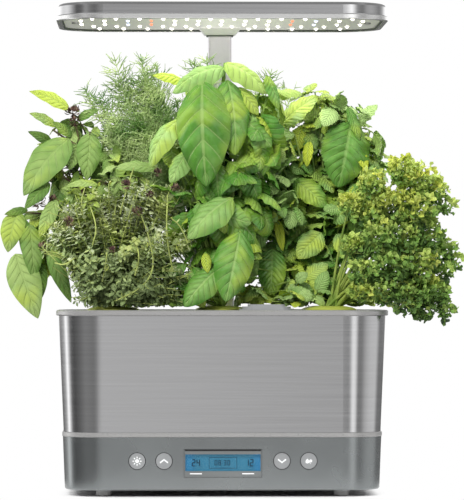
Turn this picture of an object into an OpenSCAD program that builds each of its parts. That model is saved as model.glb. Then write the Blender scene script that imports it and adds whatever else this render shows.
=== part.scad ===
// Countertop hydroponic garden: a water bowl with six planted pods on a control base,
// and a lamp hood on a telescopic mast. +X is to the right, +Y to the back, +Z up.
// The origin is on the surface that it stands on, under the middle of the plan.

/* [Plan] */
// Distance between the corner centres, left to right
corner_span_x = 191; // [180:1:215]
// Distance between the corner centres, front to back
corner_span_y = 84; // [82:1:100]

/* [Base] */
// Height of the rubber feet
foot_h = 5; // [4:0.5:8]
// Radius of a rubber foot
foot_r = 6; // [5:0.5:8]
// How far the feet stand inside the corner centres, left to right
foot_in_x = 0.5; // [0:0.5:8]
// How far the feet stand outside the corner centres, front to back
foot_out_y = 14; // [10:0.5:17]
// Height of the base housing
base_h = 42.1; // [40:0.1:60]
// Plan corner radius at the foot of the base
base_foot_r = 30.9; // [30:0.1:36]
// Plan corner radius at the top of the base
base_top_r = 32.5; // [31:0.1:38]
// Wall of the plastic housings
wall = 2.4; // [2:0.1:3]
// Height of the bright trim band
band_h = 3.8; // [3:0.1:6]
// How far the trim band stands out past the top of the base
band_proud = 0.5; // [0.2:0.1:2]

/* [Controls] */
// Height of the button row above the foot of the base
button_up_z = 23.4; // [20:0.1:25]
// Radius of a button cap
button_r = 6.35; // [5:0.05:7]
// How far a button travels
button_travel = 0.8; // [0.5:0.1:1]
// How far a button stands out of the front wall
button_proud = 1.3; // [1.1:0.1:2]
// Distance of the inner buttons from the middle
button_inner_x = 46.9; // [45:0.1:50]
// Distance of the outer buttons from the middle
button_outer_x = 68.3; // [67:0.1:70]
// Width of the recessed display panel
panel_w = 61.6; // [50:0.1:64]
// Height of the recessed display panel
panel_h = 21.8; // [19:0.1:23]
// Width of the border at each side of the display window
window_side = 0.8; // [0.6:0.1:5]
// Height of the display window
window_h = 13.4; // [10:0.1:14]

/* [Bowl] */
// Height of the steel wrap
wrap_h = 92.9; // [90:0.1:110]
// Plan corner radius at the foot of the wrap
wrap_foot_r = 31.85; // [31:0.05:33]
// Plan corner radius at the top of the wrap
wrap_top_r = 35.8; // [34:0.1:36.5]
// Thickness of the steel wrap
wrap_t = 0.8; // [0.5:0.1:1.2]
// Height of the bright rim
rim_h = 4.5; // [4:0.1:7]
// Plan corner radius of the rim
rim_r = 38; // [37:0.1:42]
// Width of the rim ring, seen from above
rim_w = 4.4; // [4:0.1:6]
// Thickness of the grow deck
deck_t = 2.8; // [2:0.1:4]

/* [Pods] */
// Distance between pod columns
pod_pitch = 88; // [86:1:92]
// Distance of the front pod row from the middle
pod_front_y = 32; // [30:0.5:33]
// Distance of the two outer back pods from the middle
pod_back_y = 34; // [31:0.5:36]
// Distance of the middle back pod from the middle
pod_mid_y = 22; // [19:0.5:22]
// Radius of a pod basket at its mouth
pod_r = 17; // [15:0.1:18]
// Depth of a pod basket
pod_depth = 54; // [45:1:56]
// Radius of the collar disc on a pod
collar_r = 21; // [20:0.1:21.5]

/* [Lamp] */
// Height of the hood's underside above the rim
lamp_gap = 232; // [228:1:250]
// Height of the hood's bright lip
lip_h = 3.9; // [3.6:0.1:5]
// Height of the hood cover above its lip
cover_h = 9.7; // [9:0.1:16]
// Plan corner radius of the lip
lip_r = 38; // [37:0.1:42]
// Plan corner radius of the hood cover
cover_r = 36.25; // [35.5:0.05:37]
// Distance between LEDs in a row
led_pitch = 19; // [17:0.5:20]
// Width of the sliding mast tube
mast_w = 19.2; // [17:0.1:20]
// Depth of the sliding mast tube
mast_d = 12; // [10:0.1:12]
// Wall of the mast tubes
mast_wall = 1.2; // [0.8:0.1:1.5]
// How far the mast stands behind the back corner centres
mast_back = 18; // [17:0.1:18.3]

/* [Plants] */
// Height of the tallest plant above the rim
plant_h = 205; // [150:1:208]
// Radius of a plant's main stem
trunk_r = 3; // [2:0.1:4]
// Radius of a side stem
twig_r = 1.5; // [1:0.1:2]
// Thickness of a leaf
leaf_t = 1.4; // [1:0.1:2]

/* [Hidden] */
$fn = 48;

// Clearances: pieces that only meet, pieces that slide, and a shaft in its bore
fit = 0.1;
slide_fit = 0.3;
shaft_fit = 0.06;
past = 1;
big = 300;

corner_x = corner_span_x / 2;
corner_y = corner_span_y / 2;
foot_x = corner_x - foot_in_x;
foot_y = corner_y + foot_out_y;
mast_y = corner_y + mast_back;

// Heights
z_floor = foot_h;
z_roof = z_floor + base_h;
z_band = z_roof + band_h;
z_wrap = z_band + wrap_h;
z_rim = z_wrap + rim_h;
z_hood = z_rim + lamp_gap;
z_lip = z_hood + lip_h;
z_top = z_lip + cover_h;
z_button = z_floor + button_up_z;

// Radii that follow from the driving ones
band_r = base_top_r + band_proud;
band_in_r = base_foot_r - 3;
floor_r = base_foot_r - wall - slide_fit;
bowl_foot_r = wrap_foot_r - wrap_t - 2 * fit;
bowl_top_r = wrap_top_r - wrap_t - 2 * fit;
rim_in_r = rim_r - rim_w;
deck_r = min(rim_in_r - slide_fit, bowl_top_r - 2 * fit);
board_r = lip_r - 4.8;
cover_in_r = cover_r - 1.8;

// Front wall of the base and what stands behind it
base_slope = (base_top_r - base_foot_r) / base_h;
function base_r_at(z) = base_foot_r + base_slope * (z - z_floor);
y_wall = -corner_y - base_r_at(z_button);
button_flange_r = button_r + 1.25;
button_flange_t = 1.2;
y_flange = y_wall + wall + 0.6;
y_pcb = y_wall + 9.8;
pcb_t = 1.6;
switch_h = 3.8;
y_stem = y_pcb - switch_h - button_travel - slide_fit;
pcb_w = 176;
pcb_down = 15;
pcb_up = 13;
pcb_screw_x = 81;
pcb_screw_z = 9.5;
panel_z = z_button - 1.85;
window_z = z_button - 1.45;
window_w = panel_w - 2 * window_side;
panel_lip = 2.5;
y_panel = y_wall + 0.9;
y_panel_flange = y_wall + 3.2;

floor_screw_x = corner_x + 16;
floor_screw_y = corner_y - 6;
screw_r = 1.5;
screw_head_r = 2.9;
screw_head_h = 1.2;
boss_r = 4;

jack_x = 60;
jack_z = z_floor + 17;
jack_r = 4.2;
jack_bore_r = 3.1;
jack_pin_r = 1.05;
jack_depth = 10;
y_jack = corner_y + base_r_at(jack_z) - 0.2;

// Mast
tube_w = mast_w + 2 * (1.1 + mast_wall);
tube_d = mast_d + 2 * (1.1 + mast_wall);
tube_z = z_floor + wall + 3.2;
tube_top = z_rim + 101.7;
mast_z = z_rim - 8.3;
mast_corner = 2;
tube_corner = 2.6;
socket_wall = 1.6;
socket_w = tube_w + 2 * (socket_wall + 2 * fit);
socket_d = tube_d + 2 * (socket_wall + 2 * fit);
notch_w = tube_w + 15;
notch_y = mast_y - tube_d / 2 - 4;
notch_wall = 2.5;
bush_w = tube_w + 4;
bush_d = tube_d + 4;
bush_low = 10;
bush_high = 12;
pad_w = 10;
pad_t = 2.2;
neck_w = 36;
neck_d = 24;
neck_h = 5.3;
lead_r = 1.8;
lead_x = notch_w / 2 - 3;

// Deck, pods and fill port
z_deck = z_wrap;
z_deck_top = z_deck + deck_t;
deck_skirt_r = deck_r - 2.3;
deck_skirt_h = 7.8;
pod_flange_r = pod_r + 3;
pod_flange_t = 1.5;
pod_wall = 1.4;
pod_foot_r = pod_r - 3.5;
z_pod = z_deck_top + fit;
pods = [[-pod_pitch, -pod_front_y], [0, -pod_front_y], [pod_pitch, -pod_front_y],
    [-pod_pitch, pod_back_y], [0, pod_mid_y], [pod_pitch, pod_back_y]];
z_collar = z_pod + pod_flange_t + fit;
collar_hole_r = 7;

fill_x = 35;
fill_out_y = 18;
fill_y = -corner_y - fill_out_y;
port_len = 32;
port_w = 14;
lid_len = 44;
lid_w = 24;
lid_t = 2.6;
dome_t = 3.4;
z_lid = z_deck_top + slide_fit;
hinge_y = fill_y + lid_w / 2 + 0.6;
hinge_z = z_deck_top + 3;
hinge_pin_r = 1;
knuckle_r = 2.2;
knuckle_len = 19.4;
lug_w = 3;

// Pump: its shaft lies along Y
pump_x = -44;
pump_w = 36;
pump_front = 16;
pump_back = 46;
cup_h = 4.6;
z_bowl_floor = z_band + 2.5;
z_pump = z_bowl_floor + cup_h;
pump_h = 26;
pump_axis_z = z_pump + 12;
chamber_r = 11.3;
chamber_back = pump_front + 11;
rotor_bore_r = 6.5;
rotor_back = pump_back - 4;
pump_shaft_r = 1.2;
shaft_front = pump_front - 2.8;
shaft_back = pump_back - 2;
cover_t = 3.3;
foam_t = 5.8;
spigot_x = pump_x + 7;
spigot_y = pump_front + 5;
spigot_r = 4.2;
spigot_bore_r = 2.8;
spigot_h = 8;
riser_wall = 1.45;
lead_hole_z = z_wrap - 9.8;
lead_y = mast_y - 4;

// Hood
board_z = z_hood + 1.7;
board_t = 1.6;
spreader_t = 1.5;
hood_screw_x = 60;
hood_screw_in = 7;
hood_end_screw_in = 10;
hood_screws_at = [
    for (x = [-1, 1], y = [-1, 1]) [x * hood_screw_x, y * (corner_y + board_r - hood_screw_in)],
    for (x = [-1, 1]) [x * (corner_x + board_r - hood_end_screw_in), -hood_end_screw_in]];
neck_z = board_z - fit - neck_h;

// Each LED row: [y, number of LEDs]; the last row is broken up by the mast
led_rows = [[-52, 12], [-30, 13], [10, 13], [33, 12]];
back_row_y = 59;
back_row_x = [24, 40, 60, 80, 100];
red_step = 3;
blue_step = 4;
led_size = 3.2;
led_h = 1.2;
chip_size = 2.4;
chip_step = 3.4;
function row_x(n) = [for (i = [0 : n - 1]) (i - (n - 1) / 2) * led_pitch];
function near(a, b) = abs(a - b) < led_pitch / 4;
function is_red(x, n) = n % 2 == 1 && near(abs(x), red_step * led_pitch);
function is_blue(x, n) = n % 2 == 1 && near(abs(x), blue_step * led_pitch);

// Plants: each tuft is [x, y, height above the rim at full growth, radius]
full_growth = 205;
grow = plant_h / full_growth;
row_gap = 0.6;
cell_depth = 84;
cell_side = 187;
thyme_tufts = [[-128, -48, 50, 18], [-103, -60, 32, 17], [-70, -62, 44, 17], [-42, -56, 58, 17],
    [-102, -36, 82, 20], [-66, -38, 90, 19], [-128, -28, 78, 13], [-60, -66, 18, 11],
    [-112, -64, 16, 11], [-42, -44, 90, 14], [-36, -60, 24, 12], [-84, -66, 20, 11],
    [-140, -44, 62, 10]];
thai_basil_tufts = [[-146, 24, 78, 17], [-125, 25, 112, 19], [-146, 30, 128, 11],
    [-122, 30, 150, 13], [-98, 46, 88, 23], [-142, 18, 46, 14], [-70, 46, 66, 18],
    [-108, 22, 58, 19], [-76, 30, 104, 16], [-98, 28, 128, 14], [-92, 14, 100, 13]];
dill_tufts = [[-63, 25, 176, 15], [-86, 22, 166, 13], [-42, 25, 165, 16], [-20, 26, 150, 14],
    [-70, 20, 150, 14], [-30, 22, 126, 14], [-8, 24, 102, 12], [-1, 23, 68, 11],
    [-94, 25, 180, 9], [-64, 24, 194, 8]];
basil_tufts = [[-12, -46, 160, 22], [14, -42, 158, 20], [36, -40, 170, 14], [-40, -44, 138, 17],
    [-2, -46, 122, 18], [18, -44, 112, 13], [-6, -46, 80, 15], [4, -42, 46, 13],
    [-10, -58, 26, 11]];
mint_tufts = [[66, 25, 150, 16], [86, 30, 156, 15], [100, 28, 130, 20], [60, 28, 116, 21],
    [92, 32, 96, 23], [46, 22, 86, 15], [68, 26, 76, 20], [108, 28, 66, 19], [86, 30, 46, 16],
    [92, 28, 162, 11], [110, 28, 142, 12], [122, 26, 116, 12], [46, 4, 134, 14],
    [38, 6, 104, 13], [36, 8, 72, 12], [56, 4, 84, 14], [74, 4, 60, 14], [100, 6, 84, 14],
    [114, 10, 104, 11], [42, 10, 40, 12], [60, 10, 28, 11], [80, 8, 26, 10]];
parsley_tufts = [[158, -45, 104, 15], [144, -40, 112, 11], [120, -46, 102, 11],
    [170, -40, 94, 11], [134, -48, 84, 15], [156, -50, 80, 15], [118, -44, 74, 13],
    [164, -46, 62, 13], [146, -50, 58, 16], [126, -52, 56, 14], [176, -36, 46, 8],
    [156, -50, 36, 16], [134, -54, 34, 15], [114, -56, 30, 11], [160, -48, 14, 14],
    [148, -52, 10, 12], [128, -56, 14, 11], [172, -42, 12, 11], [104, -50, 50, 10],
    [106, -46, 86, 9]];

// Each broad leaf is [foot, tip, width, number of the tuft that carries it]
thai_basil_leaves = [[[-124, 22, 162], [-156, 12, 174], 15, 3],
    [[-124, 12, 140], [-160, 4, 93], 30, 3], [[-107, 12, 145], [-110, 4, 106], 20, 3],
    [[-134, 8, 90], [-148, 4, 59], 13, 5], [[-166, 12, 81], [-174, 5, 47], 20, 0],
    [[-160, 9, 74], [-160, 4, 41], 11, 0], [[-156, 8, 70], [-152, 4, 24], 18, 0],
    [[-166, 8, 46], [-149, 4, -7], 26, 5], [[-140, 8, 52], [-124, 5, 8], 14, 5]];
basil_leaves = [[[-16, -60, 184], [-13, -70, 99], 42, 0], [[2, -48, 192], [-40, -54, 174], 24, 0],
    [[4, -56, 185], [10, -66, 124], 28, 1], [[4, -48, 191], [36, -54, 170], 20, 1],
    [[-32, -48, 154], [-56, -58, 118], 20, 3], [[8, -60, 90], [-19, -70, 60], 26, 6],
    [[12, -62, 63], [4, -72, 12], 22, 7], [[-2, -62, 33], [-19, -68, 8], 18, 8]];
mint_leaves = [[[50, 12, 152], [80, 6, 175], 22, 0], [[106, 10, 154], [95, 4, 100], 40, 2],
    [[60, 10, 144], [40, 5, 140], 14, 0], [[60, 8, 106], [86, 4, 84], 22, 3],
    [[44, 9, 50], [42, 4, 14], 24, 19], [[82, 8, 63], [62, 4, 42], 22, 16],
    [[94, 8, 62], [118, 4, 34], 24, 7], [[105, 8, 74], [124, 4, 56], 18, 7]];
leaf_face = [0, -1, 0.4];

// ---------------------------------------------------------------- shared shapes

// A solid on the rounded plan, given as [height, corner radius] from the bottom up
function mirrored(half, levels) = concat([for (l = levels) [half + l[1], l[0]]],
    [for (i = [len(levels) - 1 : -1 : 0]) [-half - levels[i][1], levels[i][0]]]);
module plan_solid(levels) {
    turned = concat([[0, levels[0][0]]], [for (l = levels) [l[1], l[0]]],
        [[0, levels[len(levels) - 1][0]]]);
    for (x = [-corner_x, corner_x], y = [-corner_y, corner_y])
        translate([x, y, 0])
            rotate_extrude()
                polygon(turned);
    rotate([90, 0, 90])
        translate([0, 0, -corner_x])
            linear_extrude(2 * corner_x)
                polygon(mirrored(corner_y, levels));
    rotate([90, 0, 0])
        translate([0, 0, -corner_y])
            linear_extrude(2 * corner_y)
                polygon(mirrored(corner_x, levels));
}

// A box given by its two corners
module block(low, high) {
    translate(low)
        cube(high - low);
}

// A rounded rectangle, and a post with that outline
module rounded(w, d, r) {
    square([w - 2 * r, d], center = true);
    square([w, d - 2 * r], center = true);
    for (x = [-1, 1], y = [-1, 1])
        translate([x * (w / 2 - r), y * (d / 2 - r)])
            circle(r);
}
module post(w, d, r, z0, z1) {
    translate([0, mast_y, z0])
        linear_extrude(z1 - z0)
            rounded(w, d, r);
}

// A stadium-shaped slab
module stadium(length, w, h) {
    linear_extrude(h)
        union() {
            square([length - w, w], center = true);
            for (x = [-1, 1])
                translate([x * (length - w) / 2, 0])
                    circle(w / 2);
        }
}

// A cylinder whose axis points to the back, from y0 to y1
module rod_y(x, z, r, y0, y1) {
    translate([x, y0, z])
        rotate([-90, 0, 0])
            cylinder(r = r, h = y1 - y0);
}

// A round rod from a to b
module rod(a, b, r) {
    d = b - a;
    translate(a)
        rotate([0, acos(d[2] / norm(d)), atan2(d[1], d[0])])
            cylinder(r = r, h = norm(d));
}

// A wire through a list of points. The ball at a bend covers the corner of its two rods.
module wire(points, r) {
    for (i = [0 : len(points) - 2])
        rod(points[i], points[i + 1], r);
    if (len(points) > 2)
        for (i = [1 : len(points) - 2])
            translate(points[i])
                sphere(r = 1.45 * r, $fn = 12);
}

module at_each(places) {
    for (p = places)
        translate([p[0], p[1], 0])
            children();
}

foot_places = [for (x = [-1, 1], y = [-1, 1]) [x * foot_x, y * foot_y]];
floor_screw_places = [for (x = [-1, 1], y = [-1, 1]) [x * floor_screw_x, y * floor_screw_y]];
pcb_screw_places = [for (x = [-1, 1], z = [-1, 1]) [x * pcb_screw_x, z_button + z * pcb_screw_z]];
button_x = [-button_outer_x, -button_inner_x, button_inner_x, button_outer_x];

// ---------------------------------------------------------------- base

module base_shell() {
    color("#8b8d8c")
        difference() {
            union() {
                difference() {
                    plan_solid([[z_floor, base_foot_r - 0.8], [z_floor + 1, base_foot_r],
                        [z_roof, base_top_r]]);
                    plan_solid([[z_floor - past, base_foot_r - wall],
                        [z_roof - wall, base_top_r - wall]]);
                }
                at_each(floor_screw_places)
                    translate([0, 0, z_floor + wall + fit])
                        cylinder(r = boss_r, h = base_h - 2 * wall);
                for (p = pcb_screw_places)
                    rod_y(p[0], p[1], boss_r - 0.5, y_wall + wall / 2, y_pcb - fit);
            }
            at_each(floor_screw_places)
                translate([0, 0, z_floor])
                    cylinder(r = screw_r + fit, h = 16);
            for (p = pcb_screw_places)
                rod_y(p[0], p[1], screw_r + fit, y_pcb - 6, y_pcb);
            for (x = button_x)
                rod_y(x, z_button, button_r + slide_fit, y_wall - 2 * wall, y_flange);
            block([-panel_w / 2 - slide_fit, y_wall - 2 * wall, panel_z - panel_h / 2 - slide_fit],
                [panel_w / 2 + slide_fit, y_panel_flange, panel_z + panel_h / 2 + slide_fit]);
            rod_y(jack_x, jack_z, jack_r + slide_fit, y_jack - 2 * wall, y_jack + wall);
            post(tube_w + 2 * slide_fit, tube_d + 2 * slide_fit, tube_corner, z_roof - 2 * wall,
                z_roof + past);
            translate([-lead_x, lead_y, z_roof - 2 * wall])
                cylinder(r = lead_r + slide_fit, h = 3 * wall);
        }
}

module base_floor() {
    color("#6f7170")
        difference() {
            plan_solid([[z_floor, floor_r], [z_floor + wall, floor_r]]);
            at_each(foot_places)
                translate([0, 0, z_floor - past])
                    cylinder(r = foot_r / 2 + fit, h = wall + 2 * past);
            at_each(floor_screw_places) {
                translate([0, 0, z_floor - past])
                    cylinder(r = screw_head_r + slide_fit, h = past + screw_head_h + fit);
                cylinder(r = screw_r + slide_fit, h = z_floor + 2 * wall);
            }
        }
}

module rubber_feet() {
    color("#b9bbb9")
        at_each(foot_places) {
            rotate_extrude()
                polygon([[0, 0], [foot_r - 0.8, 0], [foot_r, 0.8], [foot_r, foot_h - fit],
                    [0, foot_h - fit]]);
            cylinder(r = foot_r / 2, h = foot_h + wall + 1);
            translate([0, 0, foot_h + wall + 0.2])
                cylinder(r1 = foot_r / 2 + 0.6, r2 = foot_r / 2 - 0.4, h = 1.4);
        }
}

module floor_screws() {
    slot_half = screw_head_r * 0.6;
    color("#c9cacb")
        at_each(floor_screw_places)
            difference() {
                union() {
                    translate([0, 0, z_floor + fit])
                        cylinder(r = screw_head_r, h = screw_head_h);
                    translate([0, 0, z_floor + fit])
                        cylinder(r = screw_r, h = 14);
                }
                for (turn = [0, 90])
                    rotate([0, 0, turn])
                        block([-slot_half, -0.35, z_floor], [slot_half, 0.35, z_floor + 0.7]);
            }
}

module base_trim_band() {
    color("#b9b8b6")
        difference() {
            plan_solid([[z_roof + fit, band_r - 0.5], [z_roof + 0.6, band_r],
                [z_band - 0.5, band_r], [z_band, band_r - 0.5]]);
            plan_solid([[z_roof - past, band_in_r], [z_band + past, band_in_r]]);
        }
}

module rear_jack_body() {
    block([jack_x - 4.5, y_jack - 13, jack_z - 5.5],
        [jack_x + 4.5, y_jack - wall - 0.6, jack_z + 5.5]);
    rod_y(jack_x, jack_z, jack_r, y_jack - 2 * wall, y_jack);
}

module power_jack() {
    color("#232425") {
        difference() {
            rear_jack_body();
            rod_y(jack_x, jack_z, jack_bore_r, y_jack - jack_depth, y_jack + past);
        }
        rod_y(jack_x, jack_z, jack_pin_r, y_jack - jack_depth - past, y_jack - 1);
    }
}

// ---------------------------------------------------------------- controls

// One button: cap, retaining flange behind the front wall, and the stem to its switch
module button(x) {
    rod_y(x, z_button, button_r, y_wall - button_proud, y_flange + button_flange_t / 2);
    rod_y(x, z_button, button_flange_r, y_flange, y_flange + button_flange_t);
    rod_y(x, z_button, 2, y_flange, y_stem);
}

module button_light() {
    color("#c4c6c7")
        button(button_x[0]);
}
module button_up() {
    color("#c4c6c7")
        button(button_x[1]);
}
module button_down() {
    color("#c4c6c7")
        button(button_x[2]);
}
module button_feed() {
    color("#c4c6c7")
        button(button_x[3]);
}

module display_bezel() {
    lip_w = panel_w / 2 + panel_lip;
    lip_z = panel_h / 2 + panel_lip;
    color("#7d8082")
        difference() {
            union() {
                block([-panel_w / 2, y_panel, panel_z - panel_h / 2],
                    [panel_w / 2, y_panel_flange + 1, panel_z + panel_h / 2]);
                block([-lip_w, y_panel_flange, panel_z - lip_z],
                    [lip_w, y_panel_flange + 1.4, panel_z + lip_z]);
            }
            block([-window_w / 2, y_panel - past, window_z - window_h / 2],
                [window_w / 2, y_panel_flange + 2, window_z + window_h / 2]);
        }
}

module display_window() {
    color("#a9cfe0", 0.5)
        block([-window_w / 2 + fit, y_panel + 0.2, window_z - window_h / 2 + fit],
            [window_w / 2 - fit, y_panel + 1.5, window_z + window_h / 2 - fit]);
}

module lcd_panel() {
    color("#4f8fb4")
        block([-window_w / 2 - 1, y_panel_flange + 1.5, window_z - window_h / 2 - 1],
            [window_w / 2 + 1, y_pcb - fit, window_z + window_h / 2 + 1]);
}

module control_pcb() {
    color("#2f6b45")
        difference() {
            block([-pcb_w / 2, y_pcb, z_button - pcb_down],
                [pcb_w / 2, y_pcb + pcb_t, z_button + pcb_up]);
            for (p = pcb_screw_places)
                rod_y(p[0], p[1], screw_r + slide_fit, y_pcb - past, y_pcb + pcb_t + past);
        }
}

module tact_switches() {
    color("#2b2b2d")
        for (x = button_x) {
            block([x - 3, y_pcb - switch_h + 0.5, z_button - 3], [x + 3, y_pcb - fit, z_button + 3]);
            rod_y(x, z_button, 1.7, y_pcb - switch_h, y_pcb - 1);
        }
}

// Parts on the back of the board: a controller, three lead sockets, a capacitor, a buzzer
wire_x = [0, -lead_x, jack_x];
chip_x = -46;
chip_half = 6;
chip_h = 1.8;
socket_half_w = 3.5;
socket_half_h = 4;
socket_len = 5;
capacitor_x = 32;
capacitor_r = 4;
capacitor_len = 11;
buzzer_x = -72;
buzzer_r = 6;
buzzer_len = 5.5;
module control_chips() {
    y_back = y_pcb + pcb_t + fit;
    color("#303235") {
        block([chip_x - chip_half, y_back, z_button - chip_half],
            [chip_x + chip_half, y_back + chip_h, z_button + chip_half]);
        for (x = wire_x)
            block([x - socket_half_w, y_back, jack_z - socket_half_h],
                [x + socket_half_w, y_back + socket_len, jack_z + socket_half_h]);
        rod_y(capacitor_x, z_button, capacitor_r, y_back, y_back + capacitor_len);
        rod_y(buzzer_x, z_button, buzzer_r, y_back, y_back + buzzer_len);
    }
}

module pcb_screws() {
    y_back = y_pcb + pcb_t + fit;
    color("#c9cacb")
        for (p = pcb_screw_places) {
            rod_y(p[0], p[1], screw_head_r, y_back, y_back + screw_head_h);
            rod_y(p[0], p[1], screw_r, y_pcb - 5.5, y_back + 0.5);
        }
}

// Leads inside the base, from the power jack and the mast socket to the board
module base_wires() {
    y_plug = y_pcb + pcb_t + fit + socket_len;
    color("#1f1f22") {
        rod_y(jack_x, jack_z, lead_r, y_plug, y_jack - 13 - fit);
        rod_y(0, jack_z, lead_r, y_plug, mast_y - socket_d / 2 - fit);
    }
}

// ---------------------------------------------------------------- bowl

module steel_wrap() {
    color("#a9a9aa")
        difference() {
            plan_solid([[z_band + fit, wrap_foot_r], [z_wrap - fit, wrap_top_r]]);
            plan_solid([[z_band - past, wrap_foot_r - wrap_t], [z_band + fit, wrap_foot_r - wrap_t],
                [z_wrap - fit, wrap_top_r - wrap_t], [z_wrap + past, wrap_top_r - wrap_t]]);
        }
}

module water_bowl() {
    plug_r = band_in_r - slide_fit;
    notch_in_x = notch_w / 2 + notch_wall;
    color("#55585a")
        difference() {
            plan_solid([[z_roof + 2 * fit, plug_r], [z_band + fit, plug_r],
                [z_band + fit, bowl_foot_r], [z_wrap - 2 * fit, bowl_top_r]]);
            difference() {
                plan_solid([[z_bowl_floor, bowl_foot_r - wall], [z_wrap + past, bowl_top_r - wall]]);
                block([-notch_in_x, notch_y - notch_wall, z_roof], [notch_in_x, big, z_rim]);
            }
            plan_solid([[z_roof - past, plug_r - wall], [z_band, plug_r - wall]]);
            block([-notch_w / 2, notch_y, z_roof], [notch_w / 2, big, z_rim]);
            translate([-notch_in_x - past, lead_y, lead_hole_z])
                rotate([0, 90, 0])
                    cylinder(r = lead_r + slide_fit, h = notch_wall + 2 * past);
        }
}

module rim_ring() {
    color("#bdbcba")
        difference() {
            plan_solid([[z_wrap + fit, rim_r - 0.8], [z_wrap + 0.9, rim_r], [z_rim - 0.9, rim_r],
                [z_rim, rim_r - 0.9]]);
            plan_solid([[z_wrap - past, rim_in_r], [z_rim + past, rim_in_r]]);
        }
}

module grow_deck() {
    lug_x = (knuckle_len + lug_w) / 2 + slide_fit;
    color("#c9cbcb")
        difference() {
            union() {
                plan_solid([[z_deck, deck_r], [z_deck_top, deck_r]]);
                difference() {
                    plan_solid([[z_deck - deck_skirt_h, deck_skirt_r], [z_deck + fit, deck_skirt_r]]);
                    plan_solid([[z_deck - big / 2, deck_skirt_r - 1.8],
                        [z_deck + past, deck_skirt_r - 1.8]]);
                    block([-notch_w / 2 - 2 * notch_wall, notch_y - 2 * notch_wall, z_deck - big / 2],
                        [notch_w / 2 + 2 * notch_wall, big, z_deck]);
                }
                for (side = [-1, 1]) {
                    block([fill_x + side * lug_x - lug_w / 2, hinge_y - knuckle_r, z_deck],
                        [fill_x + side * lug_x + lug_w / 2, hinge_y + knuckle_r, hinge_z]);
                    translate([fill_x + side * lug_x - lug_w / 2, hinge_y, hinge_z])
                        rotate([0, 90, 0])
                            cylinder(r = knuckle_r, h = lug_w);
                }
            }
            at_each(pods)
                translate([0, 0, z_deck - past])
                    cylinder(r = pod_r + slide_fit, h = deck_t + 2 * past);
            translate([fill_x, fill_y, z_deck - past])
                stadium(port_len, port_w, deck_t + 2 * past);
            post(tube_w + 4 * slide_fit, tube_d + 4 * slide_fit, tube_corner, z_deck - past,
                z_deck_top + past);
            translate([fill_x - big / 2, hinge_y, hinge_z])
                rotate([0, 90, 0])
                    cylinder(r = hinge_pin_r + shaft_fit, h = big);
        }
}

module fill_hinge_pin() {
    pin_len = knuckle_len + 2 * lug_w + 2 * slide_fit;
    color("#c9cacb")
        translate([fill_x - pin_len / 2, hinge_y, hinge_z])
            rotate([0, 90, 0])
                cylinder(r = hinge_pin_r, h = pin_len);
}

module fill_lid() {
    color("#8f9192")
        difference() {
            union() {
                translate([fill_x, fill_y, z_lid])
                    stadium(lid_len, lid_w, lid_t);
                translate([fill_x, fill_y, z_lid])
                    stadium(lid_len - 5, lid_w - 5, lid_t + dome_t / 2);
                translate([fill_x, fill_y, z_lid])
                    stadium(lid_len - 14, lid_w - 14, lid_t + dome_t);
                translate([fill_x - knuckle_len / 2, hinge_y, hinge_z])
                    rotate([0, 90, 0])
                        cylinder(r = knuckle_r, h = knuckle_len);
                block([fill_x - knuckle_len / 2, fill_y, z_lid],
                    [fill_x + knuckle_len / 2, hinge_y, z_lid + lid_t]);
            }
            translate([fill_x - big / 2, hinge_y, hinge_z])
                rotate([0, 90, 0])
                    cylinder(r = hinge_pin_r + shaft_fit, h = big);
            for (side = [-1, 1])
                translate([side * big / 2 + fill_x + side * (knuckle_len / 2), hinge_y, z_lid])
                    cube([big, 2 * knuckle_r + 2 * slide_fit, big], center = true);
        }
}

module level_probes() {
    color("#d5d6d7")
        for (x = [pod_pitch / 2, pod_pitch / 2 + 10])
            translate([x, pod_back_y, 0]) {
                translate([0, 0, z_bowl_floor + 9])
                    cylinder(r = 1.5, h = z_deck - fit - z_bowl_floor - 9);
                translate([0, 0, z_deck - 3])
                    cylinder(r = 3, h = 3 - fit);
            }
}

// ---------------------------------------------------------------- pods

module pod_baskets() {
    slot_w = 7;
    slot_low = 10;
    slot_high = 12;
    color("#d9dad8")
        at_each(pods)
            translate([0, 0, z_pod])
                difference() {
                    rotate_extrude()
                        polygon([[0, -pod_depth], [pod_foot_r, -pod_depth], [pod_r, 0],
                            [pod_flange_r, 0], [pod_flange_r, pod_flange_t],
                            [pod_r - pod_wall, pod_flange_t],
                            [pod_foot_r - pod_wall, pod_wall - pod_depth], [0, pod_wall - pod_depth]]);
                    for (turn = [45, 135])
                        rotate([0, 0, turn])
                            block([-2 * pod_r, -slot_w / 2, slot_low - pod_depth],
                                [2 * pod_r, slot_w / 2, -slot_high]);
                }
}

module grow_sponges() {
    color("#6b5a48")
        at_each(pods)
            difference() {
                translate([0, 0, z_pod - pod_depth + pod_wall + slide_fit])
                    cylinder(r1 = pod_foot_r - pod_wall - 0.8, r2 = pod_r - pod_wall - 0.8,
                        h = pod_depth - 5);
                translate([0, 0, z_pod - 18])
                    cylinder(r = trunk_r + fit, h = 40);
            }
}

module pod_collars() {
    color("#b8bf62")
        at_each(pods)
            translate([0, 0, z_collar])
                rotate_extrude()
                    polygon([[collar_hole_r, 1.8], [collar_r - 1.4, 0], [collar_r, 0],
                        [collar_r, 0.5], [collar_r - 3.5, 2], [collar_r - 9, 3], [collar_hole_r, 3.2]]);
}

// ---------------------------------------------------------------- pump

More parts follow.
